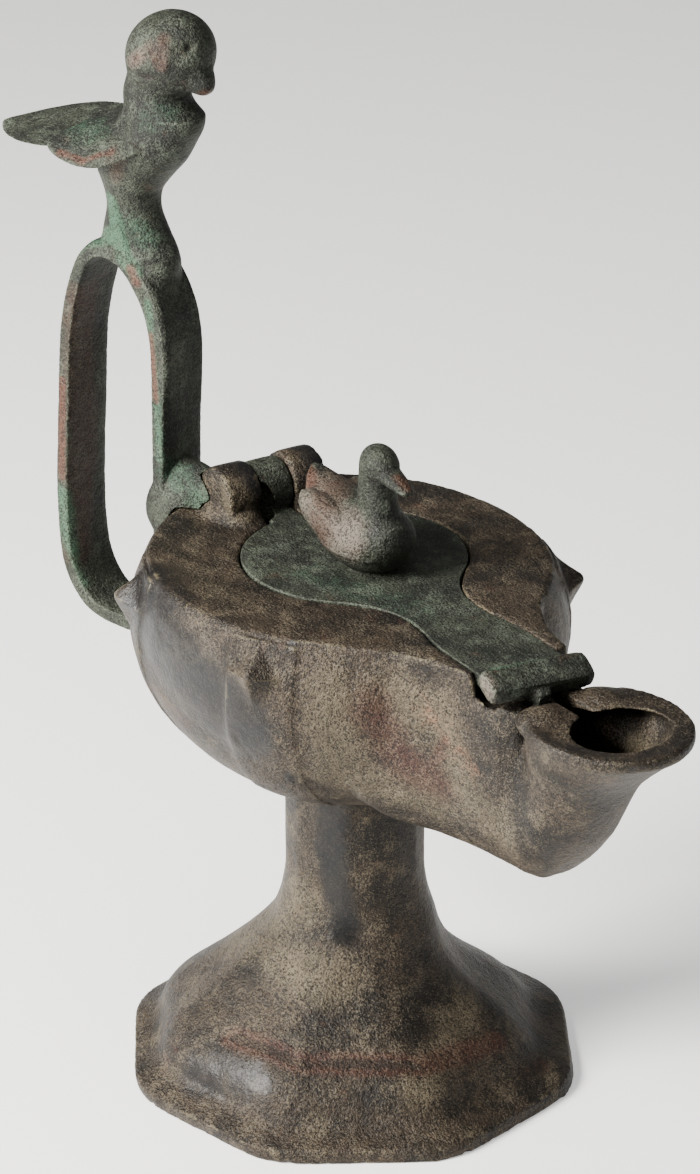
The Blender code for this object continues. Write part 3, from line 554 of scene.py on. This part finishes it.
@dataclass
class Casting:
    """One cast piece, made from a finer copy of its solid."""

    node: str
    body: str
    finish: Finish
    grid: float
    hidden_grid: float
    lump: float = 0.00010
    rounds: int = 30
    sharp: float = 34.0
    soft_share: float = 0.38
    facet_rounds: int = 12
    last_rounds: int = 3
    strokes: tuple[Stroke, ...] = ()
    carvings: tuple[Carving, ...] = ()
    melts: tuple[Melt, ...] = ()

    def hidden(self, point: Vector, normal: Vector) -> bool:
        """Tells whether a place on the piece is out of sight; the plain casting has none."""
        return False

    def copy_solid(self) -> bpy.types.Object:
        """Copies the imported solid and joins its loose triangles.

        Returns:
            The copy.
        """
        bpy.ops.object.select_all(action="DESELECT")
        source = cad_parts[self.node]
        piece = source.copy()
        piece.data = source.data.copy()
        piece.parent = None
        piece.name = self.node + "_skin"
        bpy.context.scene.collection.objects.link(piece)
        piece.hide_render = False
        piece.hide_viewport = False
        piece.data.materials.clear()
        bpy.context.view_layer.objects.active = piece
        piece.select_set(True)
        if piece.data.has_custom_normals:
            bpy.ops.mesh.customdata_custom_splitnormals_clear()
        bpy.ops.object.mode_set(mode="EDIT")
        bpy.ops.mesh.select_all(action="SELECT")
        bpy.ops.mesh.remove_doubles(threshold=WELD)
        bpy.ops.object.mode_set(mode="OBJECT")
        return piece

    def read_form(self, piece: bpy.types.Object) -> Form:
        """Finds the solid's arrises and inner corners, and how broad its facets are.

        Args:
            piece: The joined copy.

        Returns:
            Points along the arrises and the inner corners, and the faces with their breadths.
        """
        mesh = bmesh.new()
        mesh.from_mesh(piece.data)
        arrises, corners = [], []
        for edge in mesh.edges:
            if len(edge.link_faces) != 2:
                continue
            angle = edge.calc_face_angle_signed(0.0)
            if abs(angle) < math.radians(self.sharp):
                continue
            first, last = (vert.co for vert in edge.verts)
            steps = max(1, int((last - first).length / LINE_STEP))
            line = [first.lerp(last, i / steps) for i in range(steps + 1)]
            (arrises if angle > 0 else corners).extend(line)
        tree = BVHTree.FromBMesh(mesh)
        breadths = [math.sqrt(2.0 * face.calc_area()) for face in mesh.faces]
        mesh.free()
        return Form(arrises, corners, tree, breadths)

    def split(self, piece: bpy.types.Object) -> None:
        """Halves every edge longer than the piece's grid until none is left.

        Args:
            piece: The copy, changed in place.
        """
        bpy.ops.object.mode_set(mode="EDIT")
        bpy.ops.mesh.select_mode(type="EDGE")
        for times in (16.0, 8.0, 4.0, 2.0, 1.42, 1.0, 1.0):
            bpy.ops.mesh.select_all(action="DESELECT")
            mesh = bmesh.from_edit_mesh(piece.data)
            found = 0
            for edge in mesh.edges:
                length = (edge.verts[0].co - edge.verts[1].co).length
                if length <= self.grid * times:
                    continue
                if length <= self.hidden_grid * times:
                    middle = (edge.verts[0].co + edge.verts[1].co) / 2.0
                    if all(self.hidden(middle, face.normal) for face in edge.link_faces):
                        continue
                edge.select_set(True)
                found += 1
            bmesh.update_edit_mesh(piece.data)
            if not found:
                continue
            bpy.ops.mesh.subdivide(number_cuts=1)
            bpy.ops.mesh.select_all(action="SELECT")
            bpy.ops.mesh.quads_convert_to_tris(quad_method="SHORTEST_DIAGONAL", ngon_method="BEAUTY")
        bpy.ops.mesh.select_mode(type="VERT")
        bpy.ops.object.mode_set(mode="OBJECT")

    def round_off(self, net: Net, form: Form) -> None:
        """Rounds facets away by their breadth, softens arrises along their own line and runs the melts.

        Args:
            net: The fine mesh's points, moved in place.
            form: The solid it was split from.
        """
        facet = np.array([form.breadths[form.tree.find_nearest(Vector(p))[2]] for p in net.places])
        facet = net.even_out(facet, self.facet_rounds)
        line_pairs = net.ends[self.on_arris(net.mesh)]
        on_line = np.bincount(line_pairs.ravel(), minlength=net.count)
        chain = on_line == 2
        line_degree = np.maximum(on_line, 1).astype(float)
        strength = np.clip(2.0 * (self.soft_share * facet) ** 2 / (self.rounds * net.spacing ** 2), 0.0, 0.6)
        strength[(on_line > 0) & ~chain] = 0.0
        before = net.places
        for _ in range(self.rounds):
            mean = net.mean(net.places)
            mean[chain] = net.around(net.places, line_pairs, line_degree)[chain]
            net.places = net.places + strength[:, None] * (mean - net.places)
        moved = np.linalg.norm(net.places - before, axis=1)
        log.info("%s: rounding moved points by up to %.2f mm", self.node, moved.max() * 1000)
        for _ in range(self.last_rounds):
            net.places = net.places + 0.5 * (net.mean(net.places) - net.places)
        for melt in self.melts:
            far = reach(net.places, melt.path)
            share = 0.6 * (1.0 - fade(far, melt.radius * 0.5, melt.radius))[:, None]
            for _ in range(melt.rounds):
                net.places = net.places + share * (net.mean(net.places) - net.places)

    def on_arris(self, data: bpy.types.Mesh) -> np.ndarray:
        """Finds which of the fine mesh's edges lie on the solid's arrises.

        Args:
            data: The finely split mesh.

        Returns:
            For each edge whether it does.
        """
        mesh = bmesh.new()
        mesh.from_mesh(data)
        angles = np.array([edge.calc_face_angle_signed(0.0) if len(edge.link_faces) == 2 else 0.0
                           for edge in mesh.edges])
        mesh.free()
        limit = math.radians(self.sharp)
        return (np.abs(angles) >= limit) & ~(angles <= -limit)

    def carve(self, net: Net, normals: np.ndarray) -> np.ndarray:
        """Adds the casting's lumps and cuts the carvings.

        Args:
            net: The rounded points, moved in place.
            normals: The normal at each of them.

        Returns:
            How deep in a groove each point lies, from 0 to 1.
        """
        offset = np.zeros(net.count)
        for index, place in enumerate(net.places):
            spot = Vector(place)
            broad = noise.noise(spot * BROAD_LUMPS)
            fine = noise.noise(spot * FINE_LUMPS + Vector((3.1, 1.7, 5.3)))
            offset[index] = broad * 0.75 + fine * 0.35
        offset *= self.lump
        groove = np.zeros(net.count)
        for carving in self.carvings:
            far = reach(net.places, carving.path)
            profile = np.exp(-(far / (carving.width * 0.5)) ** 2)
            offset -= carving.depth * profile
            if carving.depth > 0:
                groove = np.maximum(groove, profile)
        net.places = self.keep_inside(net.places + normals * offset[:, None])
        return groove

    def shape(self, piece: bpy.types.Object, form: Form) -> None:
        """Turns the finely split copy into the worn casting and lays its marks on it.

        Args:
            piece: The copy, changed in place.
            form: The solid it was split from.
        """
        net = Net(piece.data)
        self.round_off(net, form)
        normals = net.write()
        edge = net.closeness(form.arrises, WEAR_AND_HIGHLIGHT_REACH)
        dale = net.closeness(form.corners, DIRT_AND_SHADE_REACH)
        groove = self.carve(net, normals)
        normals = net.write()
        bend = -np.einsum("ij,ij->i", net.mean(net.places) - net.places, normals) / net.spacing
        bend = net.even_out(bend, 2) * BEND_GAIN
        self.store(net.mesh, "edge", edge)
        self.store(net.mesh, "ridge", np.clip(bend, 0.0, 1.0))
        self.store(net.mesh, "dale", np.maximum(np.maximum(dale * 0.8, groove), np.clip(-bend, 0.0, 1.0)))
        for mark in Mark:
            self.store(net.mesh, mark.value, self.painted(net.places, mark))

    def keep_inside(self, places: np.ndarray) -> np.ndarray:
        """Holds the skin inside the solid's own box.

        Args:
            places: The skin's points.

        Returns:
            The points, none outside the box.
        """
        low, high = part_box(self.node)
        return np.clip(places, np.array(low), np.array(high))

    def painted(self, places: np.ndarray, mark: Mark) -> np.ndarray:
        """Works out how strongly a mark shows at each point.

        Args:
            places: The skin's points.
            mark: Which mark.

        Returns:
            Its strength from 0 to 1.
        """
        shown = np.zeros(len(places))
        for stroke in self.strokes:
            if stroke.mark is mark:
                far = reach(places, stroke.path)
                cover = 1.0 - fade(far, stroke.radius * 0.1, stroke.radius * 1.5)
                shown = np.maximum(shown, stroke.strength * cover)
        return shown

    @staticmethod
    def store(mesh: bpy.types.Mesh, name: str, values: np.ndarray) -> None:
        """Writes a value for each vertex.

        Args:
            mesh: Where it is written.
            name: The attribute's name.
            values: One number to a vertex.
        """
        layer = mesh.attributes.new(name, "FLOAT", "POINT")
        layer.data.foreach_set("value", values.astype(np.float32))

    def build(self, material: bpy.types.Material) -> bpy.types.Object:
        """Makes the skin, dresses it and puts it in place of its solid.

        Args:
            material: The patina it wears.

        Returns:
            The finished piece.
        """
        piece = self.copy_solid()
        form = self.read_form(piece)
        self.split(piece)
        self.shape(piece, form)
        piece.data.materials.append(material)
        bpy.ops.object.select_all(action="DESELECT")
        bpy.context.view_layer.objects.active = piece
        piece.select_set(True)
        bpy.ops.object.shade_smooth()
        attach(piece, self.body)
        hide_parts(self.node)
        log.info("%s: %d triangles", piece.name, sum(len(f.vertices) - 2 for f in piece.data.polygons))
        return piece


@dataclass
class LampBody(Casting):
    """Foot, stem, bowl, spout and hinge lugs: one brown casting."""

    node: str = "lamp_body"
    body: str = "lamp"
    finish: Finish = Finish.BROWN
    grid: float = 0.00134
    hidden_grid: float = 0.0032
    soft_share: float = 0.23
    plate_z: float = 0.1128
    channel_end: float = 0.058
    strokes: tuple[Stroke, ...] = (
        Stroke(Mark.POLISH, ((-1.5, -4.1, 11.1), (-0.59, -4.39, 10.65), (0.61, -4.41, 10.25),
               (1.71, -4.15, 9.63)), 0.011),
        # Painted shade: a dark line down the carved groove on the bowl's near side.
        Stroke(Mark.SOOT_AND_SHADE, ((1.40, -4.05, 11.3), (1.52, -4.15, 9.6), (1.7, -3.9, 8.6)), 0.0022, 0.6),
        Stroke(Mark.POLISH, ((2.62, -3.30, 11.5), (2.55, -3.35, 10.0), (2.42, -3.26, 8.45)), 0.0016, 0.9),
        Stroke(Mark.POLISH, ((0.82, -1.19, 6.4), (0.9, -1.2, 5.0), (1.19, -1.08, 3.79)), 0.005, 0.85),
        Stroke(Mark.POLISH, ((0.2, -4.2, 0.9), (1.49, -3.68, 1.23)), 0.007, 0.7),
        Stroke(Mark.POLISH, ((-3.9, -0.53, 12.45), (-3.19, -0.53, 12.66),
               (-2.75, -0.53, 12.4)), 0.0042, 0.9),
        Stroke(Mark.POLISH, ((-3.9, 0.95, 12.45), (-3.19, 0.95, 12.66),
               (-2.75, 0.95, 12.4)), 0.0042, 0.9),
        Stroke(Mark.SOOT_AND_SHADE, ((2.15, -4.0, 10.9), (2.25, -4.0, 10.3)), 0.0022, 0.45),
        Stroke(Mark.POLISH, ((7.2, -1.6, 11.26), (8.65, -1.35, 11.26), (9.9, -0.6, 11.26),
               (9.9, 0.6, 11.26)), 0.003, 0.6),
        Stroke(Mark.SAND, ((4.39, -2.0, 10.66), (5.19, -1.62, 10.45), (5.84, -1.35, 8.89),
               (6.55, -1.14, 8.26)), 0.007, 0.8),
        Stroke(Mark.COPPER, ((4.9, -1.8, 10.6), (5.6, -1.5, 10.0), (5.9, -1.4, 9.6)), 0.0050, 0.30),
        Stroke(Mark.RUST_AND_SHADE, ((3.9, -2.3, 10.4), (4.4, -1.9, 9.2), (5.0, -1.6, 9.0)), 0.0070, 0.70),
        Stroke(Mark.SAND, ((3.49, -3.03, 10.59), (3.42, -2.51, 8.65), (4.78, -1.54, 8.5)), 0.008, 0.8),
        Stroke(Mark.SAND, ((0.17, -1.5, 4.16), (-1.79, -1.72, 2.62), (1.38, -1.59, 2.86)), 0.009, 0.75),
        Stroke(Mark.SAND, ((2.42, 1.26, 1.92), (3.72, -0.97, 1.15)), 0.006, 0.7),
        Stroke(Mark.SAND, ((-1.38, -3.33, 11.62), (0.6, -3.2, 11.62)), 0.006, 0.45),
        Stroke(Mark.SAND, ((-2.71, -1.18, 12.36), (-2.6, -1.06, 11.92)), 0.0042),
        Stroke(Mark.SAND, ((8.2, 0.9, 10.2), (8.9, 0.6, 10.2)), 0.006, 0.9),
        # A reddish-brown band along the crease under the foot's shoulder, darkened as painted shade in that
        # crease.
        Stroke(Mark.RUST_AND_SHADE, ((0.37, -3.42, 1.67), (2.05, -2.81, 1.63), (3.37, -0.71, 1.48),
               (3.22, 1.46, 1.27)), 0.0034, 0.9),
        Stroke(Mark.RUST_AND_SHADE, ((5.3, -1.6, 10.0), (5.0, -1.6, 9.4)), 0.0022, 0.7),
        Stroke(Mark.RUST_AND_SHADE, ((-1.2, -4.4, 9.3), (0.0, -4.3, 9.0)), 0.004, 0.6),
        Stroke(Mark.SOOT_AND_SHADE, ((6.9, -1.2, 10.66), (6.98, -1.0, 9.49), (7.04, -0.85, 8.04)), 0.0028, 0.75),
        Stroke(Mark.SOOT_AND_SHADE, ((7.8, 0.0, 10.0), (8.6, 0.0, 10.0)), 0.0075, 0.95),
        Stroke(Mark.SOOT_AND_SHADE, ((7.0, -1.3, 11.26), (8.65, -1.5, 11.2), (9.9, -0.9, 11.2),
               (10.3, 0.0, 11.2), (9.9, 0.9, 11.2),
                           (8.6, 1.5, 11.2), (7.2, 1.2, 11.2)), 0.0030, 0.55),
        Stroke(Mark.SOOT_AND_SHADE, ((0.8, -1.3, 6.8), (0.2, -1.6, 6.9), (1.6, -0.6, 6.8)), 0.004, 0.6))
    carvings: tuple[Carving, ...] = (
        Carving(((-2.68, -1.10, 12.18), (-2.66, -1.09, 12.08)), 0.0011, 0.0005),
        Carving(((1.60, -3.99, 11.45), (1.74, -4.06, 9.27), (2.0, -3.6, 8.3)), 0.0013, 0.00018),
        Carving(((2.70, -3.24, 11.45), (2.62, -3.28, 10.0), (2.52, -3.2, 8.45)), 0.0013, 0.00022),
        Carving(((0.37, -3.42, 1.67), (2.05, -2.81, 1.63), (3.37, -0.71, 1.48)), 0.0030, 0.00030))
    melts: tuple[Melt, ...] = (
        Melt(((6.9, -1.25, 10.7), (6.98, -1.05, 9.49), (7.04, -0.85, 8.0)), 0.0042),
        Melt(((6.9, 1.25, 10.7), (6.98, 1.05, 9.49), (7.04, 0.85, 8.0)), 0.0042),
        Melt(((7.2, -0.85, 11.3), (7.8, -0.7, 11.3)), 0.0036, 16),
        Melt(((7.2, 0.85, 11.3), (7.8, 0.7, 11.3)), 0.0036, 16),
        Melt(((-3.0, -0.9, 11.7), (-2.6, -0.6, 11.7)), 0.0038, 30))

    def hidden(self, point: Vector, normal: Vector) -> bool:
        """Tells whether a place lies on the inside of the bowl or the foot.

        Args:
            point: The place.
            normal: Which way its face looks.

        Returns:
            True on faces that look into the hollow.
        """
        spot = point - LAMP_AXIS
        if normal.z < -0.9 and (spot.z < 0.001 or spot.z > 0.100):
            return spot.x < self.channel_end
        if spot.z > self.plate_z or spot.x > self.channel_end:
            return False
        flat = Vector((spot.x, spot.y, 0.0))
        return normal.dot(flat) < -0.25 * flat.length


@dataclass
class Handle(Casting):
    """The looped strap, its post and the bird on top: one green casting."""

    node: str = "handle"
    body: str = "lamp"
    finish: Finish = Finish.GREEN
    grid: float = 0.00064
    hidden_grid: float = 0.0012
    strokes: tuple[Stroke, ...] = (
        Stroke(Mark.VERDIGRIS, ((-5.71, -2.1, 17.94), (-5.43, -2.08, 17.19), (-5.3, -2.02, 16.8),
               (-5.06, -1.99, 16.59)), 0.0026),
        Stroke(Mark.VERDIGRIS, ((-5.2, -2.0, 17.6), (-5.0, -1.6, 17.2)), 0.004, 0.5),
        Stroke(Mark.VERDIGRIS, ((-7.1, -2.5, 16.4), (-6.4, -2.35, 17.0),
               (-5.7, -2.15, 17.2)), 0.0026, 0.9),
        Stroke(Mark.VERDIGRIS, ((-7.18, -2.55, 11.0), (-7.05, -2.5, 10.0),
               (-6.6, -2.4, 9.2)), 0.0030, 0.8),
        Stroke(Mark.VERDIGRIS, ((-4.68, -1.9, 16.0), (-4.5, -1.85, 14.0),
               (-4.44, -1.82, 12.58)), 0.0016, 0.7),
        Stroke(Mark.VERDIGRIS, ((-4.3, -1.6, 12.3), (-4.0, -1.3, 12.0),
               (-3.6, -1.3, 11.8)), 0.0045, 0.55),
        Stroke(Mark.VERDIGRIS, ((-4.2, -1.6, 20.3), (-4.5, -1.85, 19.9)), 0.005, 0.35),
        Stroke(Mark.VERDIGRIS, ((-5.8, -2.3, 19.3), (-6.4, -2.3, 19.3)), 0.006, 0.45),
        Stroke(Mark.COPPER, ((-7.1, -2.53, 13.65), (-7.18, -2.55, 11.45)), 0.0014, 0.85),
        Stroke(Mark.COPPER, ((-4.62, -1.86, 15.3), (-4.52, -1.84, 13.9)), 0.0013, 0.8),
        Stroke(Mark.COPPER, ((-5.14, -2.01, 16.61), (-5.0, -1.95, 16.4)), 0.0019, 0.85),
        Stroke(Mark.SAND, ((-4.48, -2.08, 21.4), (-4.89, -2.11, 21.13)), 0.0028, 0.6),
        Stroke(Mark.COPPER, ((-4.48, -2.08, 21.4), (-4.89, -2.11, 21.13)), 0.0022, 0.5),
        Stroke(Mark.COPPER, ((-3.72, -1.04, 20.62), (-3.66, -1.0, 20.5)), 0.0022, 0.75),
        Stroke(Mark.COPPER, ((-5.13, -2.36, 19.2), (-5.55, -2.77, 18.98),
               (-6.21, -2.95, 19.0)), 0.0012, 0.9),
        Stroke(Mark.RUST_AND_SHADE, ((-4.09, -1.78, 21.76), (-4.04, -1.89, 21.27),
               (-4.3, -2.0, 21.6)), 0.0022, 0.8),
        Stroke(Mark.RUST_AND_SHADE, ((-6.66, -2.18, 15.5), (-7.1, -2.02, 11.9), (-6.93, -2.3, 9.8)), 0.006, 0.85),
        Stroke(Mark.RUST_AND_SHADE, ((-5.13, -2.3, 19.1), (-5.3, -2.3, 18.6)), 0.003, 0.75),
        Stroke(Mark.SAND, ((-7.78, -2.11, 19.11), (-8.6, -2.3, 18.97)), 0.008, 0.2),
        # Darkens the bird's carved eye pit.
        Stroke(Mark.SOOT_AND_SHADE, ((-3.73, -1.4, 21.64), (-3.73, -1.4, 21.60)), 0.0010, 0.9),
        Stroke(Mark.SOOT_AND_SHADE, ((-4.6, -1.06, 15.26), (-4.53, -1.12, 13.0)), 0.0036, 0.35))
    carvings: tuple[Carving, ...] = (
        Carving(((-4.95, -2.0, 20.93), (-4.28, -1.98, 20.95), (-3.97, -1.47, 20.73),
                (-3.85, -1.2, 20.7)), 0.0017, 0.00060),
        Carving(((-3.73, -1.4, 21.64), (-3.73, -1.4, 21.62)), 0.0020, 0.00090),
        Carving(((-3.70, -1.35, 20.70), (-3.5, -0.98, 20.62)), 0.0010, 0.00035),
        Carving(((-4.3, -1.9, 21.95), (-3.9, -1.75, 21.5), (-4.0, -1.85, 21.1)), 0.0016, -0.00030),
        Carving(((-5.60, -2.10, 17.94), (-5.33, -2.05, 17.19), (-5.2, -2.0, 16.8)), 0.0016, -0.00040),
        Carving(((-5.2, -2.5, 19.1), (-5.55, -2.77, 18.95), (-6.21, -2.95, 18.98)), 0.0012, -0.00030))


@dataclass
class Lid(Casting):
    """The violin-shaped lid with its duck, bar and knuckle: one green casting."""

    node: str = "lid"
    body: str = "lid"
    finish: Finish = Finish.GREEN
    grid: float = 0.00052
    hidden_grid: float = 0.0020
    lump: float = 0.00006
    strokes: tuple[Stroke, ...] = (
        Stroke(Mark.VERDIGRIS, ((0.32, -1.32, 11.62), (1.48, -0.91, 11.62),
               (2.93, -0.48, 11.62)), 0.008, 0.34),
        Stroke(Mark.VERDIGRIS, ((6.3, -1.2, 11.9), (6.4, 0.9, 11.9)), 0.0016, 0.55),
        Stroke(Mark.SAND, ((6.66, -1.71, 11.46), (6.5, -1.6, 11.7)), 0.0035, 0.85),
        Stroke(Mark.SAND, ((-0.9, -0.3, 12.8), (0.0, -0.8, 12.6), (0.8, -0.7, 12.5)), 0.0065, 0.9),
        Stroke(Mark.RUST_AND_SHADE, ((-0.9, 0.2, 12.9), (-0.16, -0.5, 12.88), (0.1, -0.92, 12.43)), 0.0055, 0.75),
        Stroke(Mark.POLISH, ((1.36, -0.46, 12.77), (1.2, -0.4, 13.4)), 0.0035, 0.45),
        Stroke(Mark.COPPER, ((1.7, -0.1, 13.95), (2.1, -0.1, 13.85)), 0.0022, 0.6),
        Stroke(Mark.COPPER, ((-1.5, -0.1, 13.0), (-1.1, -0.3, 12.8)), 0.0022, 0.7),
        Stroke(Mark.SOOT_AND_SHADE, ((1.0, -0.5, 13.3), (1.3, -0.4, 13.3)), 0.0018, 0.5))
    carvings: tuple[Carving, ...] = (
        Carving(((-0.3, -0.95, 12.1), (0.89, -0.86, 12.13), (1.42, -0.57, 12.12)), 0.0012, -0.00028),
        Carving(((-0.9, -0.75, 12.9), (0.0, -0.95, 12.8), (0.75, -0.8, 12.75)), 0.0009, 0.00022),
        Carving(((1.62, -0.30, 13.95), (2.2, -0.2, 13.85)), 0.0006, 0.00018))

    def hidden(self, point: Vector, normal: Vector) -> bool:
        """Tells whether a place lies on the lid's underside.

        Args:
            point: The place.
            normal: Which way its face looks.

        Returns:
            True on faces that look down.
        """
        return normal.z < -0.95 and point.z < 0.117


@dataclass
class HingePin:
    """The rod through the lugs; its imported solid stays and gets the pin's bronze."""

    node: str = "hinge_pin"

    def build(self, material: bpy.types.Material) -> None:
        """Dresses the pin.

        Args:
            material: The patina it wears.
        """
        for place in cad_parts[self.node].material_slots:
            place.material = material
        log.info("%s: dressed", self.node)


@dataclass
class Studio:
    """Pale floor and backdrop, soft lights, and the camera where the photographer stood."""

    distance: float = 0.917
    height: float = 24.9
    turn: float = 35.0
    aim_z: float = 0.1088
    lens: float = 4500.0 / 1174.0 * 36.0
    slide: float = -4.7 / 1174.0

    def way(self, side: float, up: float) -> Vector:
        """Gives a direction from the lamp.

        Args:
            side: Degrees round from the camera, towards its right.
            up: Degrees above level.

        Returns:
            The direction.
        """
        turn, rise = math.radians(-self.turn + side), math.radians(up)
        return Vector((math.cos(turn) * math.cos(rise), math.sin(turn) * math.cos(rise), math.sin(rise)))

    def build(self) -> None:
        """Sets up floor, lights, sky and camera."""
        aim = Vector((0.0, 0.0, self.aim_z)) + LAMP_AXIS
        bpy.ops.object.select_all(action="DESELECT")
        bpy.ops.mesh.primitive_plane_add(size=6.0, location=(0.0, 0.0, 0.0))
        floor = bpy.context.object
        floor.name = "pale_floor"
        bench = Bench("pale_paper")
        soft = bench.cloud(3.0, 2.0)
        colour = bench.blend(tone("f4f3f1"), tone("f0efed"), soft)
        shader = bench.node("ShaderNodeBsdfPrincipled", None, {
            "Base Color": colour, "Roughness": 0.9,
            "Emission Color": (1.0, 1.0, 1.0, 1.0), "Emission Strength": 0.42})
        bench.node("ShaderNodeOutputMaterial", None, {"Surface": shader.outputs["BSDF"]})
        floor.data.materials.append(bench.material)

        for name, side, up, far, size, power, colour in (
                ("key_softbox", -66.0, 30.0, 0.80, 0.34, 32.0, (1.0, 0.98, 0.95)),
                ("top_softbox", -20.0, 78.0, 0.95, 0.70, 5.0, (1.0, 0.99, 0.97)),
                ("fill_softbox", 62.0, 18.0, 1.10, 0.45, 1.4, (0.96, 0.98, 1.0))):
            bpy.ops.object.select_all(action="DESELECT")
            direction = self.way(side, up)
            spot = aim + direction * far
            turn = direction.to_track_quat("Z", "Y").to_euler()
            bpy.ops.object.light_add(type="AREA", location=spot, rotation=turn)
            light = bpy.context.object
            light.name = name
            light.data.shape = "RECTANGLE"
            light.data.size = size
            light.data.size_y = size * 1.2
            light.data.energy = power
            light.data.color = colour

        world = bpy.data.worlds.new("white_room")
        world.use_nodes = True
        world.node_tree.nodes["Background"].inputs["Color"].default_value = (1.0, 1.0, 1.0, 1.0)
        world.node_tree.nodes["Background"].inputs["Strength"].default_value = 0.15
        bpy.context.scene.world = world

        direction = self.way(0.0, self.height)
        spot = aim + direction * self.distance
        bpy.ops.object.camera_add(location=spot, rotation=direction.to_track_quat("Z", "Y").to_euler())
        camera = bpy.context.object
        camera.name = "photographer"
        camera.data.sensor_width = 36.0
        camera.data.sensor_fit = "AUTO"
        camera.data.lens = self.lens
        camera.data.shift_x = self.slide
        camera.data.clip_start = 0.02
        bpy.context.scene.camera = camera
        log.info("studio: floor, three lights and the camera")


def main() -> None:
    """Builds the studio and the lamp's four pieces, and reports each one."""
    Studio().build()
    brown = Patina("brown_bronze_patina", ground="352d24", deep="181512", pale="463e32", fleck="867b67",
                   sand="5c5342", polish="0d0e10", wear_and_highlight="84795f", rust_and_shade="3b211a", sheen=0.36, matt=0.47)
    green = Patina("green_bronze_patina", ground="31352c", deep="1a1d19", pale="434a3f", fleck="6f7466",
                   sand="7a6e63", polish="101311", verdigris="36523f", wear_and_highlight="656d5e", rust_and_shade="3c281f",
                   copper="4c2e22", sheen=0.34, matt=0.58)
    dark = Patina("pin_bronze_patina", ground="3d3830", deep="241f1a", pale="4d463b", fleck="7c7260")
    body_skin = LampBody().build(brown.make())
    green_skin = green.make()
    handle_skin = Handle().build(green_skin)
    lid_skin = Lid().build(green_skin)
    HingePin().build(dark.make())
    log.info("dressed %s, %s, %s", body_skin.name, handle_skin.name, lid_skin.name)


if __name__ == "__main__":
    logging.basicConfig(level=logging.INFO, format="%(message)s")
    main()
